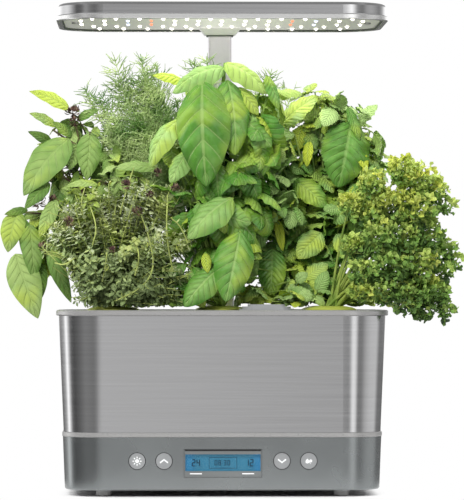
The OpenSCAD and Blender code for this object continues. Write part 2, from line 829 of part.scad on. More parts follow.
module pump_housing() {
    color("#26282a")
        difference() {
            union() {
                block([pump_x - pump_w / 2, pump_front, z_pump],
                    [pump_x + pump_w / 2, pump_back, z_pump + pump_h]);
                translate([spigot_x, spigot_y, z_pump + pump_h - 1])
                    cylinder(r = spigot_r, h = spigot_h + 1);
            }
            rod_y(pump_x, pump_axis_z, chamber_r, pump_front - past, chamber_back);
            rod_y(pump_x, pump_axis_z, rotor_bore_r, pump_front, rotor_back);
            rod_y(pump_x, pump_axis_z, pump_shaft_r + fit, pump_front, shaft_back + fit);
            translate([spigot_x, spigot_y, pump_axis_z])
                cylinder(r = spigot_bore_r, h = pump_h + spigot_h);
        }
}

module pump_cover() {
    color("#3a3d40")
        difference() {
            block([pump_x - pump_w / 2, pump_front - fit - cover_t, z_pump],
                [pump_x + pump_w / 2, pump_front - fit, z_pump + pump_h]);
            rod_y(pump_x, pump_axis_z, pump_shaft_r + fit, shaft_front - fit, pump_front);
            for (turn = [0 : 60 : 300])
                rod_y(pump_x + 6.5 * cos(turn), pump_axis_z + 6.5 * sin(turn), 2,
                    pump_front - 2 * cover_t, pump_front);
        }
}

module pump_shaft() {
    color("#e8e6e0")
        rod_y(pump_x, pump_axis_z, pump_shaft_r, shaft_front, shaft_back);
}

module pump_impeller() {
    blade_r = chamber_r - 1.5;
    hub_front = pump_front + 1;
    plate_front = chamber_back - 2.5;
    color("#e9e9e7")
        difference() {
            union() {
                rod_y(pump_x, pump_axis_z, 3.2, hub_front, plate_front + past);
                rod_y(pump_x, pump_axis_z, blade_r, plate_front, plate_front + 1.5);
                rod_y(pump_x, pump_axis_z, rotor_bore_r - 0.6, plate_front, rotor_back - 0.6);
                for (turn = [0 : 60 : 300])
                    translate([pump_x, hub_front + 0.5, pump_axis_z])
                        rotate([0, turn, 0])
                            translate([2.5, 0, -0.6])
                                cube([blade_r - 3, plate_front - hub_front, 1.2]);
            }
            rod_y(pump_x, pump_axis_z, pump_shaft_r + shaft_fit, pump_front - past, big);
        }
}

module pump_filter_foam() {
    y_foam = pump_front - 2 * fit - cover_t;
    color("#30322f")
        block([pump_x - pump_w / 2 + 2, y_foam - foam_t, z_pump + 1],
            [pump_x + pump_w / 2 - 2, y_foam, z_pump + pump_h - 1]);
}

module pump_suction_cups() {
    color("#3b3b3d")
        for (x = [-1, 1], y = [pump_front + 6, pump_back - 6])
            translate([pump_x + x * (pump_w / 2 - 6), y, z_bowl_floor + fit])
                cylinder(r1 = 4.5, r2 = 2.2, h = cup_h - 2 * fit);
}

module riser_tube() {
    z_low = z_pump + pump_h + 1;
    inner_r = spigot_r + fit;
    color("#d8dcdc", 0.7)
        translate([spigot_x, spigot_y, z_low])
            difference() {
                cylinder(r = inner_r + riser_wall, h = z_deck - 3 - z_low);
                translate([0, 0, -past])
                    cylinder(r = inner_r, h = big);
            }
}

module pump_lead() {
    corner = [pump_x - 12, pump_back - 6];
    y_plug = y_pcb + pcb_t + fit + socket_len;
    color("#1f1f22")
        wire([[corner[0], corner[1], z_pump + pump_h + fit], [corner[0], corner[1], lead_hole_z - 6],
            [-notch_w / 2 - 8, lead_y, lead_hole_z], [-lead_x, lead_y, lead_hole_z],
            [-lead_x, lead_y, jack_z], [-lead_x, y_plug, jack_z]], lead_r);
}

// ---------------------------------------------------------------- mast

module mast_socket() {
    color("#2e3032")
        difference() {
            post(socket_w, socket_d, tube_corner, z_floor + wall + fit, z_roof - wall - fit);
            post(tube_w + 2 * fit, tube_d + 2 * fit, tube_corner, tube_z - fit, z_roof);
        }
}

module mast_outer_tube() {
    color("#b4b5b6")
        difference() {
            post(tube_w, tube_d, tube_corner, tube_z, tube_top);
            post(tube_w - 2 * mast_wall, tube_d - 2 * mast_wall, tube_corner - mast_wall,
                tube_z - past, tube_top + past);
        }
}

module friction_pocket(gap) {
    y_pad = mast_y - mast_d / 2 - slide_fit;
    block([-pad_w / 2 - gap, y_pad - pad_t - gap, tube_top + 2 - gap],
        [pad_w / 2 + gap, y_pad + 2 * gap, tube_top + bush_high - 2 + gap]);
}

module mast_bushing() {
    color("#45484a")
        difference() {
            post(bush_w, bush_d, tube_corner + 1, tube_top - bush_low, tube_top + bush_high);
            post(tube_w + 2 * fit, tube_d + 2 * fit, tube_corner, tube_top - bush_low - past,
                tube_top + fit);
            post(mast_w + 2 * slide_fit, mast_d + 2 * slide_fit, mast_corner, tube_top,
                tube_top + bush_high + past);
            friction_pocket(fit);
        }
}

module mast_friction_pad() {
    color("#3b3b3d")
        friction_pocket(0);
}

module mast_inner_tube() {
    color("#b4b5b6")
        difference() {
            post(mast_w, mast_d, mast_corner, mast_z, board_z - 1);
            post(mast_w - 2 * mast_wall, mast_d - 2 * mast_wall, mast_corner - mast_wall,
                mast_z - past, board_z);
        }
}

// Shoe that plugs the foot of the sliding tube and runs inside the fixed one
module mast_glide() {
    color("#e4e4e2")
        difference() {
            union() {
                post(tube_w - 2 * mast_wall - 2 * slide_fit, tube_d - 2 * mast_wall - 2 * slide_fit,
                    mast_corner, mast_z - 6, mast_z - fit);
                post(mast_w - 2 * mast_wall - 2 * fit, mast_d - 2 * mast_wall - 2 * fit, 0.8,
                    mast_z - past, mast_z + 10);
            }
            translate([0, mast_y, mast_z - big / 2])
                cylinder(r = lead_r + 2 * slide_fit, h = big);
        }
}

// Lead from the base to the lamp, held inside both tubes
module lamp_lead() {
    color("#1f1f22")
        translate([0, mast_y, tube_z + fit])
            cylinder(r = lead_r, h = board_z - fit - tube_z - 2 * fit);
}

// ---------------------------------------------------------------- hood

module hood_neck() {
    color("#e2e3e2")
        difference() {
            translate([0, mast_y, neck_z])
                linear_extrude(neck_h)
                    rounded(neck_w, neck_d, 4);
            post(mast_w + 2 * fit, mast_d + 2 * fit, mast_corner, neck_z - past, board_z - 1 + fit);
            translate([0, mast_y, neck_z])
                cylinder(r = lead_r + slide_fit, h = 2 * neck_h);
        }
}

module hood_bezel() {
    color("#c6c6c5")
        difference() {
            plan_solid([[z_hood, lip_r - 0.5], [z_hood + 0.6, lip_r], [z_lip - 0.5, lip_r],
                [z_lip - fit, lip_r - 0.4]]);
            plan_solid([[z_hood - past, board_r + slide_fit], [z_lip + past, board_r + slide_fit]]);
        }
}

module hood_cover() {
    color("#a5a6a7")
        difference() {
            union() {
                difference() {
                    plan_solid([[z_lip, cover_r - 0.3], [z_lip + 0.6, cover_r],
                        [z_top - 2.2, cover_r], [z_top - 0.7, cover_r - 0.8], [z_top, cover_r - 2.4]]);
                    plan_solid([[z_lip - past, cover_in_r], [z_top - 2.8, cover_in_r],
                        [z_top - 1.8, cover_in_r - 1]]);
                }
                at_each(hood_screws_at)
                    translate([0, 0, board_z + board_t + spreader_t + 2 * fit])
                        cylinder(r = 3.4, h = z_top - board_z - board_t - spreader_t - 1);
            }
            at_each(hood_screws_at)
                translate([0, 0, board_z])
                    cylinder(r = screw_r + fit, h = z_top - board_z - 2.2);
        }
}

// A flat sheet in the hood with its screw holes and the hole for the lamp lead
module hood_sheet(z0, t) {
    difference() {
        plan_solid([[z0, board_r], [z0 + t, board_r]]);
        at_each(hood_screws_at)
            translate([0, 0, z0 - past])
                cylinder(r = screw_r + slide_fit, h = t + 2 * past);
    }
}

module led_board() {
    color("#f1f0ec")
        hood_sheet(board_z, board_t);
}

module heat_spreader() {
    color("#b9babb")
        hood_sheet(board_z + board_t + fit, spreader_t);
}

module hood_screws() {
    color("#c9cacb")
        at_each(hood_screws_at) {
            translate([0, 0, board_z - fit - screw_head_h])
                cylinder(r = screw_head_r, h = screw_head_h);
            translate([0, 0, board_z - fit - 0.5])
                cylinder(r = screw_r, h = z_top - board_z - 4);
        }
}

module led(x, y, size) {
    translate([x, y, board_z - fit - led_h / 2])
        cube([size, size, led_h], center = true);
}

module white_leds() {
    color("#fffbe8") {
        for (row = led_rows, x = row_x(row[1]))
            if (!is_red(x, row[1]) && !is_blue(x, row[1]))
                led(x, row[0], led_size);
        for (side = [-1, 1], x = back_row_x)
            led(side * x, back_row_y, led_size);
    }
}

module red_leds() {
    color("#ff5a48")
        for (row = led_rows, x = row_x(row[1]), i = [-1, 0, 1])
            if (is_red(x, row[1]))
                led(x, row[0] + i * chip_step, chip_size);
}

module blue_leds() {
    color("#8fb0ff")
        for (row = led_rows, x = row_x(row[1]))
            if (is_blue(x, row[1]))
                led(x, row[0], led_size);
}

// ---------------------------------------------------------------- plants

// The point at a tuft's or leaf's place, with its height scaled by the growth
function grown(p) = [p[0], p[1], z_rim + p[2] * grow];

// A leaf blade: a lens-shaped plate from its foot to its tip, rolled to face the front
module leaf(foot, tip, w) {
    d = tip - foot;
    l = norm(d);
    bend = (l * l + w * w) / (4 * w);
    turn = atan2(d[1], d[0]);
    side = [-sin(turn), cos(turn), 0];
    over = cross(d / l, side);
    roll = atan2(-leaf_face * side, leaf_face * over);
    translate(foot)
        rotate([0, -asin(d[2] / l), turn])
            rotate([roll, 0, 0])
                translate([l / 2, 0, -leaf_t / 2])
                    linear_extrude(leaf_t)
                        intersection() {
                            translate([0, bend - w / 2])
                                circle(bend);
                            translate([0, w / 2 - bend])
                                circle(bend);
                        }
}

// A tuft of foliage: a coarse ball drawn up into a blunt point
module tuft(centre, r) {
    hull() {
        translate(centre)
            sphere(r = r, $fn = 10);
        translate(centre + [0, 0, r * 0.55])
            sphere(r = r * 0.55, $fn = 8);
    }
}

// Main stem in its pod, a side stem to each tuft of foliage, and the broad leaves
module plant(pod, tufts, leaves) {
    crown = [pod[0], pod[1], z_rim + 14];
    rod([pod[0], pod[1], z_pod - 17], crown, trunk_r);
    for (t = tufts) {
        rod(crown - [0, 0, 3], grown(t), twig_r, $fn = 6);
        tuft(grown(t), t[3]);
    }
    for (l = leaves) {
        rod(grown(tufts[l[3]]), grown(l[0]), twig_r, $fn = 6);
        leaf(grown(l[0]), grown(l[1]), l[2]);
    }
}

// The room that each plant grows in, so that neighbours never overlap
split_z = z_rim + 115 * grow;
left_split = -pod_pitch / 4;
right_split = pod_pitch * 0.74;
mid_split = -pod_pitch * 0.4;
back_split = pod_pitch * 0.3;
lean_split = -pod_pitch * 1.22;
row_split = -1;
low_z = z_floor;
high_z = z_rim + plant_h + 2;

module cell(x0, x1, y0, y1, z0, z1) {
    block([x0 + row_gap, y0 + row_gap, z0 + row_gap], [x1 - row_gap, y1 - row_gap, z1 - row_gap]);
}

module thyme_plant() {
    color("#6f8262")
        intersection() {
            plant(pods[0], thyme_tufts, []);
            cell(-cell_side, left_split, -cell_depth, row_split, low_z, split_z);
        }
}

module thai_basil_plant() {
    color("#5d7446")
        intersection() {
            plant(pods[3], thai_basil_tufts, thai_basil_leaves);
            union() {
                cell(-cell_side, mid_split, row_split, cell_depth, low_z, z_rim + 130 * grow);
                cell(-cell_side, lean_split, row_split, cell_depth, z_rim, high_z);
            }
        }
}

module dill_plant() {
    dill_back = mast_y - bush_d / 2 - past;
    color("#6d8f5e")
        intersection() {
            plant(pods[4], dill_tufts, []);
            union() {
                cell(mid_split, back_split, row_split, dill_back, low_z, high_z);
                cell(lean_split, back_split, row_split, dill_back, z_rim + 130 * grow, high_z);
            }
        }
}

module basil_plant() {
    color("#6f9c3f")
        intersection() {
            plant(pods[1], basil_tufts, basil_leaves);
            union() {
                cell(left_split, right_split, -cell_depth, row_split, low_z, high_z);
                cell(-pod_pitch, right_split, -cell_depth, row_split, split_z, high_z);
            }
        }
}

module mint_plant() {
    color("#557a3c")
        intersection() {
            plant(pods[5], mint_tufts, mint_leaves);
            cell(back_split, cell_side, row_split, cell_depth, low_z, high_z);
        }
}

module parsley_plant() {
    color("#7fa83d")
        intersection() {
            plant(pods[2], parsley_tufts, []);
            cell(right_split, cell_side, -cell_depth, row_split, low_z, high_z);
        }
}

base_shell();
base_floor();
rubber_feet();
floor_screws();
base_trim_band();
steel_wrap();
water_bowl();
rim_ring();
grow_deck();
fill_hinge_pin();
level_probes();
pump_housing();
pump_cover();
pump_shaft();
pump_filter_foam();
pump_suction_cups();
riser_tube();
pump_lead();
display_bezel();
lcd_panel();
display_window();
control_pcb();
tact_switches();
control_chips();
pcb_screws();
power_jack();
base_wires();
mast_socket();
mast_outer_tube();
mast_bushing();
mast_friction_pad();
pod_baskets();
grow_sponges();
pod_collars();
thyme_plant();
thai_basil_plant();
dill_plant();
basil_plant();
mint_plant();
parsley_plant();
hood_cover();
hood_bezel();
led_board();
white_leds();
red_leds();
blue_leds();
heat_spreader();
hood_screws();
hood_neck();
mast_inner_tube();
mast_glide();
lamp_lead();
fill_lid();
button_light();
button_up();
button_down();
button_feed();
pump_impeller();
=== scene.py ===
# %% [markdown]
# # Countertop hydroponic garden
# A steel-wrapped water bowl stands on a control base, six herbs grow from pods in its deck, and
# an LED hood rides on a telescopic mast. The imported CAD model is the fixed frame: its nodes keep
# their shape and place and get their finishes here, and the herbs are grown leaf by leaf.

# %% Load the frame
import math

import bpy
import numpy as np
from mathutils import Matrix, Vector


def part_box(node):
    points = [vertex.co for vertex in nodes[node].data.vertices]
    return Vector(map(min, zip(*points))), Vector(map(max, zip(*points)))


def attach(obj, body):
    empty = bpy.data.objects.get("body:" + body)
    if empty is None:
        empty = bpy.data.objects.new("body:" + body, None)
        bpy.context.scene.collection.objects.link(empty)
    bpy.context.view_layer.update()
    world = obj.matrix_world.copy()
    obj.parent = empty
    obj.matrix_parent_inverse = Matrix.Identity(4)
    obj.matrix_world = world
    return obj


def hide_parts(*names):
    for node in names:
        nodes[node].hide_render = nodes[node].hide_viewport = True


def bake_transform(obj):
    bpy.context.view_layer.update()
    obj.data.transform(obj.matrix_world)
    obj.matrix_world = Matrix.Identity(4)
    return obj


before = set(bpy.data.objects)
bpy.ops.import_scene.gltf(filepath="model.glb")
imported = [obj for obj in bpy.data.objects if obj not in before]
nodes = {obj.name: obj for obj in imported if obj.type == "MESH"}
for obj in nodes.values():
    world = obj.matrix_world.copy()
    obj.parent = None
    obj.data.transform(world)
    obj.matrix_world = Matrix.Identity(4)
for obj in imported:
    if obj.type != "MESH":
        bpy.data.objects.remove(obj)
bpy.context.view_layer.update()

MM = 0.001


def added(name, data):
    """A new object with this data, in the scene."""
    obj = bpy.data.objects.new(name, data)
    bpy.context.scene.collection.objects.link(obj)
    return obj


def fresh():
    bpy.ops.object.select_all(action="DESELECT")


# %% [markdown]
# ## The camera
# A long lens about three metres away, level with the upper part of the bowl and a touch to the
# left. Almost no perspective is left, so the hood shows its LEDs and the rim stays a thin line.

# %% Camera
CAMERA_DISTANCE = 3.02
CAMERA_HEIGHT = 0.1648
CAMERA_AZIMUTH = math.radians(-1.1)
LENS_MM = 266.6
AIM = Vector((0.0088, 0.0, 0.197))

camera_data = bpy.data.cameras.new("camera")
camera_data.lens = LENS_MM
camera_data.sensor_width = 36
camera_data.clip_end = 50
camera = added("camera", camera_data)
camera.location = (CAMERA_DISTANCE * math.sin(CAMERA_AZIMUTH),
                   -CAMERA_DISTANCE * math.cos(CAMERA_AZIMUTH), CAMERA_HEIGHT)
camera.rotation_euler = (AIM - camera.location).to_track_quat("-Z", "Y").to_euler()
bpy.context.scene.camera = camera
bpy.context.scene.view_settings.view_transform = "Standard"
print("camera at", [round(c, 3) for c in camera.location])

# %% [markdown]
# ## Shader maths
# Materials are written as expressions. A `Wire` is one output of a node. Adding or multiplying
# wires adds the Math node that does it, so a formula reads like a formula.


# %% Shader helpers
def paint(red, green, blue):
    """A colour as on a paint chart, 0 to 255, turned into the linear values that light needs."""
    chart = [c / 255 for c in (red, green, blue)]
    return tuple(c / 12.92 if c <= 0.04045 else ((c + 0.055) / 1.055) ** 2.4 for c in chart)


class Wire:
    """One output socket of a node tree, with arithmetic."""

    def __init__(self, shades, socket):
        self.shades = shades
        self.socket = socket

    def maths(self, operation, other=None, swap=False, clamp=False):
        values = [self] if other is None else [other, self] if swap else [self, other]
        return self.shades.add("ShaderNodeMath", {"operation": operation, "use_clamp": clamp},
                               dict(enumerate(values)))

    def __add__(self, other):
        return self.maths("ADD", other)

    def __sub__(self, other):
        return self.maths("SUBTRACT", other)

    def __rsub__(self, other):
        return self.maths("SUBTRACT", other, swap=True)

    def __mul__(self, other):
        return self.maths("MULTIPLY", other)

    def __truediv__(self, other):
        return self.maths("DIVIDE", other)

    __rmul__ = __mul__


class Shades:
    """A node tree, with one way to add a node to it."""

    def __init__(self, tree):
        self.tree = tree

    def add(self, kind, settings=None, values=None, out=0):
        node = self.tree.nodes.new(kind)
        for key, value in (settings or {}).items():
            if key == "stops":
                self.set_stops(node.color_ramp, value)
            else:
                setattr(node, key, value)
        for key, value in (values or {}).items():
            self.connect(node.inputs[key], value)
        return Wire(self, node.outputs[out])

    def set_stops(self, ramp, stops):
        while len(ramp.elements) < len(stops):
            ramp.elements.new(1.0)
        for element, (place, colour) in zip(ramp.elements, stops):
            element.position = place
            element.color = (*colour, 1)

    def connect(self, socket, value):
        if isinstance(value, Wire):
            self.tree.links.new(value.socket, socket)
        elif socket.type == "RGBA" and len(value) == 3:
            socket.default_value = (*value, 1)
        else:
            socket.default_value = value

    def ramp(self, value, *stops):
        return self.add("ShaderNodeValToRGB", {"stops": stops}, {0: value})

    def mix(self, amount, a, b, blend="MIX"):
        return self.add("ShaderNodeMix", {"data_type": "RGBA", "blend_type": blend},
                        {0: amount, 6: a, 7: b}, out=2)

    def span(self, value, low, high, to_low=0.0, to_high=1.0, smooth=False):
        return self.add("ShaderNodeMapRange",
                        {"interpolation_type": "SMOOTHSTEP" if smooth else "LINEAR"},
                        {0: value, 1: low, 2: high, 3: to_low, 4: to_high})

    def split(self, vector, axis):
        return self.add("ShaderNodeSeparateXYZ", None, {0: vector}, out="XYZ".index(axis))

    def grey(self, value):
        return self.add("ShaderNodeCombineColor", None, {0: value, 1: value, 2: value})


NOISE_LOW, NOISE_HIGH = 0.3, 0.7  # nearly all of a noise lies between these


class Finish(Shades):
    """A material under construction, with its Principled BSDF."""

    def __init__(self, name, **constants):
        self.material = bpy.data.materials.new(name)
        self.material.use_nodes = True
        super().__init__(self.material.node_tree)
        self.bsdf = self.tree.nodes["Principled BSDF"]
        for key, value in constants.items():
            self.feed(key.replace("_", " ").title(), value)

    def feed(self, name, value):
        self.connect(self.bsdf.inputs[name], value)

    def glow(self, colour, strength):
        self.feed("Emission Color", colour)
        self.feed("Emission Strength", strength)

    def place(self, stretch=(1, 1, 1)):
        return self.add("ShaderNodeMapping", None,
                        {0: self.add("ShaderNodeTexCoord", out=3), 3: stretch})

    def from_middle(self, axis):
        """The distance from the object's origin along one axis."""
        return self.split(self.place(), axis).maths("ABSOLUTE")

    def noise(self, scale, stretch=(1, 1, 1), detail=3):
        return self.add("ShaderNodeTexNoise", None,
                        {"Vector": self.place(stretch), "Scale": scale, "Detail": detail})

    def bump(self, height, strength, distance):
        self.feed("Normal", self.add("ShaderNodeBump", None, {"Strength": strength,
                                                              "Distance": distance,
                                                              "Height": height}))

    def gloss(self, value, roughness, down, up):
        """Roughness that goes a little down and up with the value."""
        self.feed("Roughness", self.span(value, NOISE_LOW, NOISE_HIGH, roughness - down,
                                         roughness + up))

    def tinted(self, colour, value, low, high):
        """The colour, made lighter and darker as the value goes over a surface."""
        level = self.span(value, NOISE_LOW, NOISE_HIGH, low, high)
        return self.mix(1.0, colour, self.grey(level), "MULTIPLY")

    def wear(self, *names):
        """Puts this material on CAD nodes."""
        for name in names:
            slots = nodes[name].data.materials
            if not slots:
                slots.append(self.material)
            for i in range(len(slots)):
                slots[i] = self.material
        return self


# %% [markdown]
# ## Brushed steel
# The wrap and the hood are sheet steel with a fine horizontal brushing. The brushing is a noise
# that is stretched along X and Y and very short along Z. It moves the colour, the roughness and
# a tiny bump, so that the steel still mirrors the studio's panels as upright streaks.


# %% Metals
FINE_BRUSHING, BROAD_BRUSHING = (14, 14, 5200), (9, 9, 700)


def brushed_steel(name, colour, roughness):
    f = Finish(name, metallic=1.0)
    fine = f.noise(1.0, FINE_BRUSHING, 2)
    broad = f.noise(1.0, BROAD_BRUSHING, 2)
    lines = 0.55 * fine + 0.45 * broad
    f.feed("Base Color", f.tinted(colour, lines, 0.91, 1.07))
    f.gloss(lines, roughness, 0.03, 0.05)
    f.bump(lines, 0.1, 0.00003)
    return f


def satin_metal(name, colour, roughness, metallic=0.85):
    f = Finish(name, metallic=metallic)
    grain = f.noise(900, detail=2)
    cloud = f.noise(30, detail=2)
    f.feed("Base Color", f.tinted(colour, 0.5 * grain + 0.5 * cloud, 0.95, 1.04))
    f.gloss(grain, roughness, 0.03, 0.05)
    f.bump(grain, 0.12, 0.00006)
    return f


brushed_steel("wrap_brushed_steel", (0.6, 0.6, 0.605), 0.14).wear("steel_wrap")
brushed_steel("hood_brushed_steel", (0.56, 0.56, 0.565), 0.15).wear("hood_cover")
satin_metal("bright_trim", (0.46, 0.455, 0.447), 0.3, 0.45).wear("rim_ring", "base_trim_band")
satin_metal("hood_lip", (0.8, 0.8, 0.79), 0.2, 0.8).wear("hood_bezel")
# The mast's violet tint is painted light: it cancels the green light the leaves throw on it.
satin_metal("mast_aluminium", (0.76, 0.73, 0.78), 0.42).wear("mast_inner_tube", "mast_outer_tube")
satin_metal("spreader_aluminium", (0.6, 0.6, 0.61), 0.5).wear("heat_spreader")
satin_metal("screw_metal", (0.5, 0.5, 0.51), 0.35, 1.0).wear(
    "floor_screws", "pcb_screws", "hood_screws", "fill_hinge_pin", "level_probes")
print("metals:", len(bpy.data.materials))


# %% [markdown]
# ## Moulded plastics
# Every moulding gets a faint grain, a cloudy change of gloss and a slight unevenness of colour,
# as a real moulding has. The base is painted in a silver-grey that reflects the room softly.


# %% Plastics
def moulded(name, colour, roughness, metallic=0.0, grain=700, alpha=1.0):
    f = Finish(name, metallic=metallic, alpha=alpha)
    cloud = f.noise(25, detail=3)
    f.feed("Base Color", f.tinted(colour, cloud, 0.94, 1.05))
    f.gloss(cloud, roughness, 0.04, 0.06)
    f.bump(f.noise(grain, detail=2), 0.15, 0.00005)
    return f


moulded("base_silver_grey", (0.3, 0.318, 0.32), 0.24, 0.92).wear("base_shell")
moulded("floor_grey", (0.16, 0.165, 0.165), 0.5).wear("base_floor")
moulded("foot_pale_rubber", (0.5, 0.5, 0.49), 0.45, grain=300).wear("rubber_feet")
moulded("bowl_dark", (0.04, 0.042, 0.045), 0.25).wear("water_bowl")
moulded("deck_silver", (0.5, 0.51, 0.51), 0.4, 0.3).wear("grow_deck")
moulded("lid_grey", (0.42, 0.43, 0.43), 0.35, 0.2).wear("fill_lid")
moulded("black_plastic", (0.02, 0.021, 0.022), 0.45).wear(
    "pump_housing", "pump_cover", "tact_switches", "control_chips", "power_jack", "mast_socket",
    "mast_bushing")
black_rubber = moulded("black_rubber", (0.018, 0.018, 0.02), 0.6).wear(
    "pump_suction_cups", "pump_lead", "base_wires", "lamp_lead", "mast_friction_pad")
moulded("filter_foam", (0.03, 0.032, 0.03), 0.95, grain=250).wear("pump_filter_foam")
moulded("riser_clear", (0.75, 0.78, 0.78), 0.15, alpha=0.5).wear("riser_tube")
moulded("white_nylon", (0.75, 0.75, 0.73), 0.45).wear("mast_glide", "pump_impeller")
# The collar carries a faint painted glow, as if lit through by the LEDs, though it is no lamp.
neck_white = moulded("neck_white", (0.8, 0.79, 0.79), 0.4)
neck_white.glow((1.0, 0.97, 0.98), 0.14)
moulded("white_ceramic", (0.72, 0.71, 0.68), 0.3).wear("pump_shaft")
moulded("basket_white", (0.66, 0.67, 0.65), 0.5).wear("pod_baskets")
moulded("sponge_peat", (0.09, 0.06, 0.035), 0.95, grain=260).wear("grow_sponges")
moulded("collar_yellow_green", (0.5, 0.56, 0.1), 0.4).wear("pod_collars")
moulded("button_metallic", (0.42, 0.43, 0.435), 0.32, 0.5).wear(
    "button_light", "button_up", "button_down", "button_feed")
moulded("panel_metallic_grey", (0.26, 0.275, 0.275), 0.35, 0.6).wear("display_bezel")
moulded("board_lacquer_green", (0.02, 0.12, 0.05), 0.4).wear("control_pcb")
print("plastics made, materials:", len(bpy.data.materials))

# %% [markdown]
# ## Lights that belong to the object
# The hood's board is white, with a painted glow of its LEDs' light that is bright in the middle
# and dim at the ends. The LEDs glow: warm white, deep red and a cool bluish white. The display
# has a blue backlight behind a clear window, deeper at both ends.


# %% Glowing finishes
def glowing(name, colour, glow, strength):
    f = Finish(name, roughness=0.4, emission_strength=strength)
    mottle = f.noise(400)
    f.feed("Base Color", f.tinted(colour, mottle, 0.94, 1.0))
    f.feed("Emission Color", f.tinted(glow, mottle, 0.94, 1.0))
    return f


def towards_ends(finish, band, middle, end):
    """A colour that turns into another across a band of distances from the middle."""
    return finish.mix(finish.span(finish.from_middle("X"), *band, smooth=True), middle, end)


# The board is no lamp: its glow is painted LED light, bright in the middle and dim at the ends.
BOARD_BAND, BOARD_BRIGHT, BOARD_DIM = (0.01, 0.1), (1.0, 0.97, 0.92), (0.32, 0.31, 0.29)
LCD_BAND, LCD_MIDDLE, LCD_END = (0.019, 0.029), (0.02, 0.14, 0.23), (0.012, 0.14, 0.29)
led_board = glowing("led_board_white", (0.68, 0.68, 0.65), (0, 0, 0), 0.42)
led_board.feed("Emission Color", towards_ends(led_board, BOARD_BAND, BOARD_BRIGHT, BOARD_DIM))
led_board.wear("led_board")
led_warm = glowing("led_warm_white", (0.9, 0.9, 0.8), (1.0, 0.96, 0.82), 5.0)
led_red = glowing("led_deep_red", (0.9, 0.3, 0.2), (1.0, 0.2, 0.1), 1.6)
led_cool = glowing("led_cool_white", (0.7, 0.75, 0.95), (0.62, 0.68, 1.0), 2.0)
backlight = Finish("lcd_backlight", roughness=0.4, emission_strength=0.55)
blue = towards_ends(backlight, LCD_BAND, LCD_MIDDLE, LCD_END)
for name in ("Base Color", "Emission Color"):
    backlight.feed(name, blue)
backlight.wear("lcd_panel")
moulded("window_acrylic", (0.2, 0.4, 0.5), 0.25, alpha=0.06).wear("display_window")

# %% [markdown]
# ## The studio
# The background that the camera sees is pure white. Light comes evenly from all round, with soft
# lamps from the front, the sides and above. What polished metal reflects is a studio panorama:
# pale in front, with bright panels and dark gaps beside it, which draw upright streaks on the
# rounded corners of the steel. It has one row of panels below eye level and one above, a dim
# ceiling, a dim back, and a wide softbox high in front that puts a sheen on the leaves.

# %% World
world = bpy.data.worlds.new("studio")
world.use_nodes = True
bpy.context.scene.world = world
sky = Shades(world.node_tree)
ray = sky.add("ShaderNodeLightPath").socket.node
is_camera, is_glossy = (Wire(sky, ray.outputs[name]) for name in ("Is Camera Ray",
                                                                  "Is Glossy Ray"))
toward = sky.add("ShaderNodeTexCoord", out=0)
azimuth = sky.split(toward, "X").maths("ARCTAN2", 0 - sky.split(toward, "Y"))
# Azimuth in degrees, 0 in front and 90 on the right, and brightness
LOW_PANORAMA = ((-180, 0.12), (-146, 0.25), (-127, 0.6), (-115, 1.8), (-107, 0.9), (-98, 0.18),
                (-86, 0.09), (-67, 0.19), (-50, 0.29), (-25, 0.25), (-16, 0.36), (-9, 0.66),
                (-1, 0.72), (3, 0.53), (10, 0.4), (17, 0.33), (22, 0.45), (30, 1.25), (37, 1.15),
                (45, 0.26), (56, 0.3), (69, 0.6), (84, 0.76), (106, 0.8), (121, 0.26), (146, 0.2),
                (180, 0.12))
HIGH_PANORAMA = ((-180, 1.5), (-142, 1.6), (-125, 1.2), (-106, 1.3), (-95, 1.0), (-82, 0.45),
                 (-72, 0.15), (-58, 0.2), (-46, 0.5), (-35, 0.3), (-22, 0.2), (-10, 0.32),
                 (-2, 0.42), (3, 0.6), (8, 0.9), (18, 1.5), (25, 2.0), (33, 1.1), (40, 0.36),
                 (56, 0.28), (68, 0.54), (82, 0.62), (97, 0.48), (113, 0.3), (129, 0.64),
                 (143, 1.36), (180, 1.5))
PANORAMA_TOP = 2.0
height = sky.split(toward, "Z")


def panorama(stops):
    return sky.ramp(azimuth / math.tau + 0.5,
                    *((a / 360 + 0.5, (b / PANORAMA_TOP,) * 3) for a, b in stops))


EYE_LEVEL = (-0.03, 0.03)
panels = sky.mix(sky.span(height, *EYE_LEVEL), panorama(LOW_PANORAMA), panorama(HIGH_PANORAMA))
# Each pair is the band in which a part of the studio fades in, or out at the softbox's top and
# side. Azimuths are in radians.
CEILING_HEIGHT, BACK_AZIMUTH, BACK_HEIGHT = (0.12, 0.6), (1.9, 2.3), (0.095, 0.135)
SOFTBOX_FOOT, SOFTBOX_TOP, SOFTBOX_AZIMUTH = (0.24, 0.36), (0.66, 0.8), (1.1, 1.5)
CEILING, BACK, SOFTBOX = ((level,) * 3 for level in (0.17, 0.2, 0.75))
panels = sky.mix(sky.span(height, *CEILING_HEIGHT, smooth=True), panels, CEILING)
# Dim behind the object, or the hood's flat top mirrors white and can't be seen from the front
aside = azimuth.maths("ABSOLUTE")
behind = sky.span(aside, *BACK_AZIMUTH) * sky.span(height, *BACK_HEIGHT)
panels = sky.mix(behind, panels, BACK)
key = sky.span(height, *SOFTBOX_FOOT) * sky.span(height, *SOFTBOX_TOP, 1, 0)
key = key * sky.span(aside, *SOFTBOX_AZIMUTH, 1, 0)
panels = sky.mix(key, panels, SOFTBOX)
AMBIENT = 0.42
reflected = sky.mix(1.0, panels, (PANORAMA_TOP,) * 3, "MULTIPLY")
seen = sky.mix(is_glossy, (AMBIENT, AMBIENT, AMBIENT * 1.02), reflected)
seen = sky.mix(is_camera, seen, (1, 1, 1))
sky.connect(sky.tree.nodes["Background"].inputs[0], seen)

# %% [markdown]
# The floor is a disc that keeps its shadow near the object. With the distance from the base it
# fades into the white that the camera, metal and glass see.

